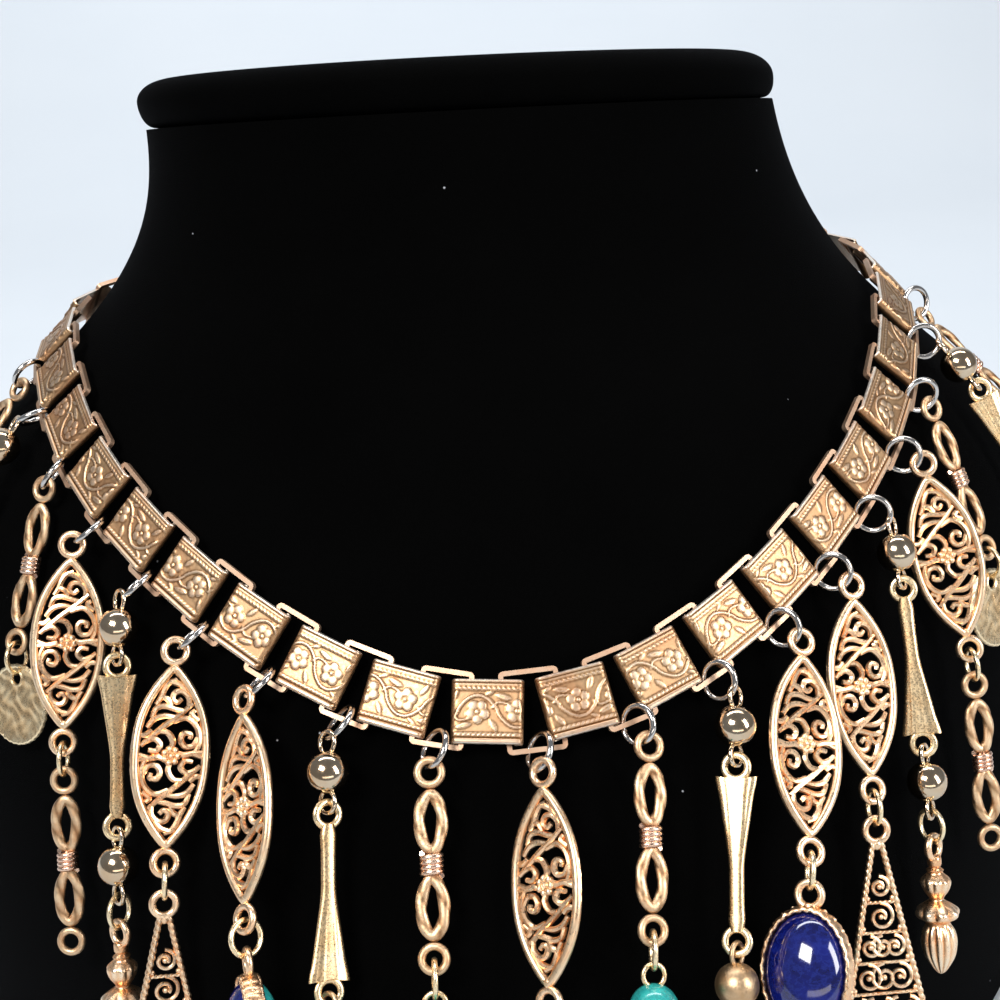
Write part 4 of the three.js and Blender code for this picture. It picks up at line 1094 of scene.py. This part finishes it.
def twist(shape, place):
    """Two long eyes of twisted wire, bound by a coil, with a small eye at each end."""
    middle = -TWIST["length"] / 2
    for side in (1, -1):
        right = np.array(LONG_EYE)
        left = right[::-1][1:-1] * np.array([-1, 1])
        centre = middle + side * TWIST["eye_offset"]
        outline = np.vstack([right, left]) * np.array([1, side]) + np.array([0, centre])
        path = flat(flat_curve(outline, 7, closed=True))
        wire = tube(path, TWIST["wire"], 14, closed=True, depth=TWIST["flatness"], rope=(2, 0.12, 0.16))
        shape.add(wire, "matte", place)
        add_eye(shape, place, 0 if side > 0 else -TWIST["length"], "matte")
    angle = np.linspace(0, 2 * np.pi * COIL["turns"], 90)
    rise = middle + COIL["height"] * (angle / angle[-1] - 0.5)
    coil = np.stack([
        COIL["radius"] * np.cos(angle), COIL["flatness"] * COIL["radius"] * np.sin(angle), rise,
    ], -1)
    shape.add(tube(coil, COIL["wire"], 9, side_on=(0, 0, 1)), "coil", place, 0.75)
    # The core sits low on the painted light: painted shade inside the coil.
    shape.add(ball(COIL["core"], (0, 0, middle), (1.1, 0.8, 1.9), 10, 12), "coil", place, 0.15)


LOOP_TO_BALL = 4.7
# Collar where a loop enters its ball: radius, height as a share of it, and its place past the loop's wire.
LOOP_COLLAR = {"radius": 0.75, "flatness": 0.6, "past": 0.15}
# Cup over the top of an end bead: radius, and height over the bead's top.
CUP = {"rows": [(0.45, 0.0), (1.2, -0.2), (1.9, -0.62), (2.15, -0.86), (2.0, -0.9)], "flutes": 8, "cut": 0.07}


def add_loop(shape, place, z, below, finish):
    """Wire loop whose ends go into a ball."""
    shape.add(ring(BALL_LOOP["radius"], BALL_LOOP["wire"], 26, 9, (0, 0, z)), finish, place, 0.8)
    reach = (BALL_LOOP["radius"] + LOOP_COLLAR["past"]) * (1 if below else -1)
    collar = ball(LOOP_COLLAR["radius"], (0, 0, z + reach), (1, 1, LOOP_COLLAR["flatness"]), 8, 12)
    shape.add(collar, finish, place)


def ball_link(shape, place):
    shape.add(ball(BALL_RADIUS, (0, 0, -LOOP_TO_BALL)), "champagne", place)
    add_loop(shape, place, 0, False, "champagne")
    add_loop(shape, place, -2 * LOOP_TO_BALL, True, "champagne")


def end_bead(shape, place, radius, finish, cup):
    """Ball or bead on a loop, under a fluted cup of another finish."""
    centre = -(0.94 * radius + 0.8 * BALL_LOOP["radius"])
    shape.add(ball(radius, (0, 0, centre), rows=22, sides=32), finish, place)
    add_loop(shape, place, 0, False, cup)
    top = centre + 0.985 * radius
    profile = [(across, top + rise) for across, rise in CUP["rows"]]
    fluted = turned(profile, 24, lambda row, angle: 1 + CUP["cut"] * row * np.cos(CUP["flutes"] * angle))
    shape.add(fluted, cup, place)


FAN_LENGTH = 27.2
FAN = {"eye_gap": 1.5, "thickness": 0.62, "stem_extra": 0.15, "flute": 0.1, "flutes": 2.5, "dip": 0.5}
# Half width along the bar, from its plain end to its fan end.
FAN_ROWS = [
    (0, 0.9), (0.05, 1.35), (0.12, 1.3), (0.16, 1.2), (0.42, 1.2), (0.53, 1.5), (0.7, 2.15), (0.88, 2.8),
    (0.97, 3.35), (1, 3.4),
]


def fan_bar(shape, place, fan_up):
    """Bar with a waist that opens into a fluted fan, with an eye at each end."""
    along = np.linspace(0, 1, 60)
    half_width = np.interp(along, *zip(*FAN_ROWS))
    half_width = np.convolve(np.pad(half_width, 2, "edge"), np.ones(5) / 5, "valid")
    angle = circle(56)
    across = np.sign(np.cos(angle)) * np.abs(np.cos(angle)) ** 0.8
    spread = np.clip((along - 0.5) / 0.3, 0, 1)[:, None]
    flutes = FAN["flute"] * np.abs(np.cos(FAN["flutes"] * np.pi * across))[None, :] * spread
    rounded = np.sign(np.sin(angle)) * np.abs(np.sin(angle)) ** 0.9
    thick = (FAN["thickness"] + flutes + FAN["stem_extra"] * (1 - spread)) * rounded
    reach = FAN_LENGTH - 2 * FAN["eye_gap"]
    dip = FAN["dip"] * (1 - np.abs(across)[None, :]) * np.clip((along - 0.9) / 0.1, 0, 1)[:, None]
    run = FAN["eye_gap"] + reach * along[:, None] * np.ones((1, len(angle))) - dip
    z = -FAN_LENGTH + run if fan_up else -run
    rings = np.stack([half_width[:, None] * across[None, :], thick, z], -1)
    points, quads, tris, painted_light = closed_skin(rings)
    # Painted highlight on the crests of the flutes, painted shade between them.
    painted_light[: rings.shape[0] * rings.shape[1]] = (0.5 + 1.4 * flutes).ravel()
    shape.add((points, quads, tris, np.clip(painted_light, 0, 1)), "pale", place)
    add_flat_eye(shape, place, 0, "pale")
    add_flat_eye(shape, place, -FAN_LENGTH, "pale")


CABOCHON = {"drop": 11.7, "half_width": 7.6, "stone": (6.5, 4.6, 9.0), "dome": (16, 48)}
# Bezel: its gap round the stone across and up, its wall, and the ropes and grains on it.
BEZEL = {"across": 0.45, "up": 0.5, "wall": 0.55, "depth": 2.7, "ripples": 30, "ripple": 0.012}
BEZEL_ROPE = {"place": 1.35, "shrink": 0.985, "wire": 0.42}
GRAINS = {"count": 26, "past_bezel": (0.4, 0.45), "radius": 0.36}


def cabochon(shape, place):
    """Lapis and turquoise domes back to back in one chased bezel."""
    centre = np.array([0, 0, -CABOCHON["drop"]])
    half_x, half_y, half_z = CABOCHON["stone"]
    rows, sides = CABOCHON["dome"]
    for side, finish in ((-1, "lapis"), (1, "turquoise")):
        share = np.linspace(0, np.pi / 2, rows)[:, None]
        angle = circle(sides)[None, :]
        rings = np.stack([
            half_x * np.cos(share) * np.cos(angle),
            side * half_y * np.sin(share) + 0 * angle,
            half_z * np.cos(share) * np.sin(angle),
        ], -1)
        points = rings.reshape(-1, 3) + centre
        half_stone = (points, net(rows, sides, ring_columns=True), NO_TRIS, np.full(len(points), 0.5))
        shape.add(half_stone, finish, place)
    angle = circle(120)
    ripple = 1 + BEZEL["ripple"] * np.cos(BEZEL["ripples"] * angle)
    bezel_x, bezel_z = half_x + BEZEL["across"], half_z + BEZEL["up"]
    path = standing(bezel_x * np.cos(angle) * ripple, bezel_z * np.sin(angle) * ripple)
    wall = tube(path + centre, BEZEL["wall"], 10, closed=True, depth=BEZEL["depth"])
    shape.add(wall, "filigree", place, 0.55)
    for side in (-1, 1):
        rope_path = path * BEZEL_ROPE["shrink"] + centre + np.array([0, side * BEZEL_ROPE["place"], 0])
        rope = tube(rope_path, BEZEL_ROPE["wire"], 10, closed=True, rope=(2, 0.45, 0.4))
        shape.add(rope, "filigree", place)
    angle = circle(GRAINS["count"])
    past_x, past_z = GRAINS["past_bezel"]
    for spot in standing((bezel_x + past_x) * np.cos(angle), (bezel_z + past_z) * np.sin(angle)):
        shape.add(ball(GRAINS["radius"], spot + centre, rows=6, sides=8), "filigree", place)
    add_eye(shape, place, 0)
    shape.add(ball(1.0, (0, 0, -1.9), (1.2, 0.9, 0.7), 8, 12), "filigree", place)


TRIANGLE = {"top": 2, "length": 33, "top_half": 1.0, "bottom_half": 8.2, "edge": 0.62}
SPIRAL = {"turns": 1.35, "shrink": 0.72, "most": 2.35, "wire": 0.34}
# Height of each row of scrolls, and how many pairs stand in it.
TRIANGLE_ROWS = [(-9.5, 1), (-14.5, 1), (-19.5, 2), (-24.6, 2), (-29.9, 3)]
CROSS_BAR = {"below_row": 2.6, "wire": 0.34}


def spiral(x, z, radius, hand):
    angle = np.linspace(0, 2 * np.pi * SPIRAL["turns"], int(22 * SPIRAL["turns"]))
    shrunk = radius * (1 - SPIRAL["shrink"] * angle / angle[-1])
    heading = np.pi / 2 + hand * angle
    return standing(x + shrunk * np.cos(heading), z + shrunk * np.sin(heading))


def triangle(shape, place):
    """Long triangle of rope wire filled with scrolls and grains."""
    top, bottom = -TRIANGLE["top"], -(TRIANGLE["top"] + TRIANGLE["length"])
    edge = TRIANGLE["edge"]
    inner_top, inner_bottom = TRIANGLE["top_half"] - 0.3, TRIANGLE["bottom_half"] - edge
    base = bottom + edge
    corners = [(-inner_top, top), (-inner_bottom, base), (inner_bottom, base), (inner_top, top)]

    def half_at(z):
        share = (top - z) / (top - bottom)
        return inner_top + share * (inner_bottom - inner_top) - 0.35

    for first, second in zip(corners, corners[1:]):
        side = tube(flat(np.linspace(first, second, 90)), edge, 12, rope=(2, 0.42, 0.38))
        shape.add(side, "filigree", place)
    for z, pairs in TRIANGLE_ROWS:
        room = half_at(z)
        radius = min(room / pairs / 1.05, SPIRAL["most"])
        spots = np.linspace(-room + radius, room - radius, 2 * pairs - 1) if pairs > 1 else [0.0]
        for i, x in enumerate(spots):
            line = spiral(x, z, radius, 1 if i % 2 else -1)
            shape.add(tube(line, SPIRAL["wire"], 7, depth=1.2), "filigree", place, 0.7)
            shape.add(ball(0.5, (x, 0, z), (1, 1.1, 1), 8, 10), "filigree", place)
        bar_half, bar_z = half_at(z - 2.5), z - CROSS_BAR["below_row"]
        bar = flat(np.linspace((-bar_half, bar_z), (bar_half, bar_z), 24))
        shape.add(tube(bar, CROSS_BAR["wire"], 8, rope=(2, 0.6, 0.35)), "filigree", place)
        for x in (0.3 - bar_half, bar_half - 0.3):
            shape.add(ball(0.46, (x, 0, z - 1.9), rows=7, sides=9), "filigree", place)
    for x in np.linspace(-inner_bottom, inner_bottom, 15):
        shape.add(ball(0.5, (x, 0, base), (1, 1.3, 1), 7, 9), "filigree", place)
    shape.add(ball(0.9, (0, 0, top - 0.4), (1, 0.8, 1.1), 8, 12), "filigree", place)
    add_eye(shape, place, 0)


# Half profile of the baluster: radius, and depth below the centre of its eye.
BALUSTER = [
    (0.5, 1.5), (1.15, 1.7), (1.2, 3.0), (0.95, 3.5), (1.5, 4.0), (1.35, 4.5), (2.5, 5.6), (2.65, 6.4),
    (2.2, 7.6), (1.35, 8.8), (1.3, 9.3), (2.2, 9.9), (3.6, 10.9), (3.9, 11.6), (3.5, 12.3), (2.3, 13.0),
    (2.1, 13.5), (2.75, 14.6), (3.1, 16.2), (3.0, 17.8), (2.6, 19.4), (1.7, 21.0), (0.8, 22.1), (0.05, 22.6),
]
# Ribs cut into it: middle of the cut stretch or its start, over what height it fades, depth and half count.
BULB_RIBS = {"start": 13.4, "fade": 0.8, "cut": 0.13, "pairs": 6}
LEAF_RIBS = [
    {"middle": 11.4, "fade": 1.6, "cut": 0.2, "pairs": 4},
    {"middle": 6.4, "fade": 2.0, "cut": 0.12, "pairs": 5},
]


def baluster(shape, place):
    """Cast baluster: leafy crown, knop and ribbed bulb."""
    line = flat_curve([(radius, -depth) for radius, depth in BALUSTER], 4)
    line[:, 0] = np.maximum(line[:, 0], 0.02)

    def ribbed(_, angle):
        depth = -line[:, 1][:, None]
        grooves = np.clip((depth - BULB_RIBS["start"]) / BULB_RIBS["fade"], 0, 1) * BULB_RIBS["cut"]
        share = 1 - grooves * (1 - np.abs(np.cos(BULB_RIBS["pairs"] * angle)))
        for ribs in LEAF_RIBS:
            grooves = np.clip(1 - np.abs(depth - ribs["middle"]) / ribs["fade"], 0, 1) * ribs["cut"]
            share = share - grooves * (1 - np.abs(np.cos(ribs["pairs"] * angle)))
        return share

    shape.add(turned(line, 96, ribbed), "filigree", place)
    add_eye(shape, place, 0)


DISC = {"radius": 7.2, "thickness": 0.8, "hole": 1.3, "inset": 1.1, "grid": (22, 96)}
DISC_EDGE = {"crimps": 36, "crimp": 0.012, "height": 0.22, "width": 0.14, "wire": 0.45, "inset": 0.15}
DENT_DEPTH = 0.1


def disc(shape, place):
    """Hammered disc with a crimped edge."""
    drop = -(DISC["radius"] - DISC["inset"] - DISC["hole"])
    rows, sides = DISC["grid"]
    angle = circle(sides)[None, :]
    blend = np.linspace(0, 1, rows)[:, None]
    hole_x, hole_z = DISC["hole"] * np.cos(angle), DISC["hole"] * np.sin(angle)
    waves = np.cos(DISC_EDGE["crimps"] * angle)
    rim = (DISC["radius"] - DISC_EDGE["inset"]) * (1 + DISC_EDGE["crimp"] * waves)
    rim_x, rim_z = rim * np.cos(angle), drop + rim * np.sin(angle)
    x, z = hole_x * (1 - blend) + rim_x * blend, hole_z * (1 - blend) + rim_z * blend
    dents = DENT_DEPTH * np.sin(1.9 * x + 1.3 * np.sin(1.1 * z)) * np.sin(1.7 * z + 1.1 * np.sin(1.3 * x))
    raised = DISC_EDGE["height"] * np.clip(1 - (1 - blend) / DISC_EDGE["width"], 0, 1)
    edge = raised * (0.6 + 0.4 * waves)
    height = DISC["thickness"] / 2 - 0.08 + dents * np.clip(4 * (1 - blend), 0, 1) + edge
    # Painted highlight on raised hammer marks and on the crimped edge, painted shade in the dents.
    painted_light = np.clip(0.5 + 1.5 * dents + 1.6 * edge, 0, 1).ravel()
    for side in (-1, 1):
        points = np.stack([x, side * height, z], -1).reshape(-1, 3)
        shape.add((points, net(rows, sides, ring_columns=True), NO_TRIS, painted_light), "pale", place)
    edge_wire = tube(standing(rim_x, rim_z).reshape(-1, 3), DISC_EDGE["wire"], 8, closed=True)
    shape.add(edge_wire, "pale", place, 0.8)
    shape.add(ring(DISC["hole"] + 0.12, 0.4, 28, 8), "pale", place, 0.75)


# What draws each kind of piece, and the slot of its material.
MAKERS = {
    "marquise": (marquise, "rose_gold"),
    "twist": (twist, "rose_gold"),
    "ball": (ball_link, "silvered_gold"),
    "bead": (partial(end_bead, radius=STONE_BEAD_RADIUS, finish="turquoise", cup="pale"), "turquoise_bead"),
    "endball": (partial(end_bead, radius=BALL_RADIUS, finish="aged", cup="aged"), "aged_gold"),
    "fan": (partial(fan_bar, fan_up=False), "pale_gold"),
    "fanup": (partial(fan_bar, fan_up=True), "pale_gold"),
    "cabochon": (cabochon, "lapis_and_turquoise"),
    "triangle": (triangle, "rose_gold"),
    "baluster": (baluster, "rose_gold"),
    "disc": (disc, "pale_gold"),
}

EYE_CLEAR = CAST_EYE["radius"] - CAST_EYE["wire"]
LOOP_CLEAR = BALL_LOOP["radius"] - BALL_LOOP["wire"]


def hung(*measures):
    return dict(zip(("length", "top", "bottom", "half_width", "half_depth"), measures))


# What each piece measures for hanging: length from eye to eye, clear radius of its eyes,
# and half width and half depth of its body.
KINDS = {
    "marquise": hung(MARQUISE_LENGTH, EYE_CLEAR, EYE_CLEAR, MARQUISE["half_width"], 0.8),
    "twist": hung(TWIST["length"], EYE_CLEAR, EYE_CLEAR, TWIST["half_width"], 1),
    "ball": hung(2 * LOOP_TO_BALL, LOOP_CLEAR, LOOP_CLEAR, BALL_RADIUS, BALL_RADIUS),
    "bead": hung(5.2, LOOP_CLEAR, 0, STONE_BEAD_RADIUS, STONE_BEAD_RADIUS),
    "endball": hung(4.8, LOOP_CLEAR, 0, BALL_RADIUS, BALL_RADIUS),
    "fan": hung(FAN_LENGTH, EYE_CLEAR, EYE_CLEAR, 3.3, 0.6),
    "fanup": hung(FAN_LENGTH, EYE_CLEAR, EYE_CLEAR, 3.3, 0.6),
    "cabochon": hung(20, EYE_CLEAR, 0, CABOCHON["half_width"], CABOCHON["stone"][1]),
    "triangle": hung(TRIANGLE["length"], EYE_CLEAR, 0, TRIANGLE["bottom_half"], 0.7),
    "baluster": hung(21, EYE_CLEAR, 0, 3.9, 3.9),
    "disc": hung(13, DISC["hole"], 0, DISC["radius"], 0.5),
}

# The drops, by connector counted from the front centre, left is negative. Lean is the sideways sway
# in mm for each mm down. A piece has its turn from lying flat on the chest, positive to the right,
# and the turn of the ring that it starts with, where it has one.
DROPS = [
    {"at": 0, "lean": -0.05, "chain": [("marquise", -36)]},
    {"at": -1, "lean": -0.03, "chain": [("twist", 2), ("bead", 0, -80)]},
    {"at": 1, "lean": -0.08, "chain": [("twist", 0), ("bead", 0, 80)]},
    {"at": -2, "lean": -0.03, "chain": [("ball", -26), ("fan", 34), ("endball", -30)]},
    {"at": 2, "lean": -0.12, "chain": [("ball", 26), ("fanup", -34), ("endball", 30)]},
    {"at": -3, "lean": 0.05, "chain": [("marquise", -15), ("cabochon", -52, 60)]},
    {"at": 3, "lean": -0.19, "chain": [("marquise", -13), ("cabochon", -52, 64)]},
    {"at": -4, "lean": -0.055, "chain": [("marquise", 42), ("triangle", 38, -52)]},
    {"at": 4, "lean": -0.04, "chain": [("marquise", -14), ("triangle", -24, 70)]},
    {"at": -5, "lean": -0.02, "chain": [("ball", -20), ("fanup", 46), ("ball", -20), ("baluster", -10, -85)]},
    {"at": 5, "lean": 0, "chain": [("ball", 20), ("fan", -46), ("ball", 20), ("baluster", 10, 85)]},
    {"at": -6, "lean": -0.01, "chain": [("marquise", 34), ("twist", 28, -58)]},
    {"at": 6, "lean": 0.06, "chain": [("marquise", -38), ("twist", -30, 56)]},
    {"at": -7, "lean": 0, "chain": [("twist", 10), ("disc", 8, -76)]},
    {"at": 7, "lean": 0, "chain": [("twist", -10), ("disc", -8, 76)]},
    {"at": -8, "lean": 0, "chain": [("ball", -20), ("fanup", 44)]},
    {"at": 8, "lean": 0, "chain": [("ball", 20), ("fanup", -44)]},
    {"at": -9, "lean": 0, "chain": [("twist", 8)]},
    {"at": 9, "lean": 0, "chain": [("twist", -8)]},
]


def make_drop(drop):
    side = "c" if drop["at"] == 0 else f"{'l' if drop['at'] < 0 else 'r'}{abs(drop['at'])}"
    for order, (kind, turn, top, bottom, centre, ring_turn) in enumerate(lay_out(drop)):
        maker, slot = MAKERS[kind]
        shape = Shape()
        maker(shape, hang_place(top, bottom, facing(drop["at"], turn)))
        if order == 0:
            link = link_place(drop["at"])
            angle = math.radians(RING_TURN)
            direction = link[:3, 0] * math.cos(angle) + link[:3, 1] * math.sin(angle)
            wire = ring(TOP_RING["radius"], TOP_RING["drawn_wire"], 44, 12)
            shape.add(wire, "silver", hang_place(centre, top, direction), 0.8)
        elif centre is not None:
            wire = ring(LOWER_RING["radius"], LOWER_RING["wire"], 40, 12)
            shape.add(wire, "pale", hang_place(centre, top, facing(drop["at"], ring_turn)), 0.85)
        node = f"drop_{side}_{order + 1}_{kind}"
        shape.make("seen_" + node, node)


# Scene, in metres.


def aim_camera():
    yaw, pitch, roll = (math.radians(a) for a in (CAMERA_YAW, CAMERA_PITCH, CAMERA_ROLL))
    ahead = Vector((math.sin(yaw) * math.cos(pitch), math.cos(yaw) * math.cos(pitch), math.sin(pitch)))
    right = ahead.cross(Vector((0, 0, 1))).normalized()
    up = right.cross(ahead)
    x_axis = right * math.cos(roll) - up * math.sin(roll)
    y_axis = right * math.sin(roll) + up * math.cos(roll)
    turn = Matrix((x_axis, y_axis, -ahead)).transposed()
    data = bpy.data.cameras.new("camera")
    data.lens, data.sensor_width = CAMERA_LENS, SENSOR_WIDTH
    data.clip_start, data.clip_end = 0.01, 20
    camera = bpy.data.objects.new("camera", data)
    camera.matrix_world = Matrix.Translation(Vector(CAMERA_PLACE) * MM) @ turn.to_4x4()
    bpy.context.scene.collection.objects.link(camera)
    bpy.context.scene.camera = camera


CHEST = (0, -0.06, 0.1)
# Area lights: place, what each looks at, its size, power in watts and colour.
LIGHTS = {
    "key": ((-0.55, -0.75, 0.95), CHEST, (0.55, 0.4), 15.8, (1.0, 0.985, 0.96)),
    "fill": ((0.8, -0.6, 0.55), CHEST, (0.3, 0.7), 8.6, (1.0, 0.99, 0.98)),
    "low": ((0.05, -0.95, 0.12), CHEST, (0.9, 0.12), 0.9, (1.0, 0.94, 0.86)),
    "backdrop_wash": ((0, 0.35, 1.3), (0, 1.4, 0.35), (1.6, 0.4), 25, (0.95, 0.97, 1.0)),
}
WORLD = {"colour": (0.86, 0.92, 1.0, 1), "strength": 0.24}


def add_light(name, place, target, size, power, colour):
    data = bpy.data.lights.new(name, "AREA")
    data.shape = "RECTANGLE"
    data.size, data.size_y = size
    data.energy = power
    data.color = colour
    light = bpy.data.objects.new(name, data)
    light.location = place
    light.rotation_euler = (Vector(target) - Vector(place)).to_track_quat("-Z", "Y").to_euler()
    bpy.context.scene.collection.objects.link(light)


# Line of the backdrop from front to back, y and z, and its gap below the bust's base.
BACKDROP = {
    "profile": [(-0.42, 0.0), (0.6, 0.0), (1.0, 0.02), (1.3, 0.16), (1.45, 0.45), (1.5, 0.9), (1.5, 2.4)],
    "half_width": 2.6,
    "columns": 9,
    "gap": 0.0002,
}


def make_stage():
    """Pale floor that curves up behind the bust."""
    line = flat_curve(BACKDROP["profile"], 8)
    across = np.linspace(-1, 1, BACKDROP["columns"]) * BACKDROP["half_width"]
    spread = np.broadcast_to(across, (len(line), len(across)))
    points = np.stack([spread, line[:, :1] + 0 * spread, line[:, 1:] + 0 * spread], -1)
    mesh = bpy.data.meshes.new("backdrop")
    mesh.from_pydata(points.reshape(-1, 3).tolist(), [], net(len(line), len(across)).tolist())
    mesh.polygons.foreach_set("use_smooth", np.ones(len(mesh.polygons), bool))
    paint = Paint("pale_paper")
    colour = paint.ramp(paint.noise(3.0), (0.3, (0.5, 0.535, 0.57)), (0.7, (0.53, 0.56, 0.59)))
    paint.join(colour, paint.inputs["Base Color"])
    paint.inputs["Roughness"].default_value = 0.9
    mesh.materials.append(paint.material)
    backdrop = bpy.data.objects.new("backdrop", mesh)
    backdrop.location = (0, 0, -BACKDROP["gap"])
    bpy.context.scene.collection.objects.link(backdrop)


def light_scene():
    world = bpy.data.worlds.new("studio")
    world.use_nodes = True
    background = world.node_tree.nodes["Background"]
    background.inputs["Color"].default_value = WORLD["colour"]
    background.inputs["Strength"].default_value = WORLD["strength"]
    bpy.context.scene.world = world
    for name, settings in LIGHTS.items():
        add_light(name, *settings)
    bpy.context.scene.view_settings.view_transform = "Standard"


aim_camera()
make_stage()
light_scene()
make_bust()
make_cap()
make_collar_half(-1, "stamped_collar_left", "collar_left")
make_collar_half(1, "stamped_collar_right", "collar_right")
make_clasp()
for drop in DROPS:
    make_drop(drop)
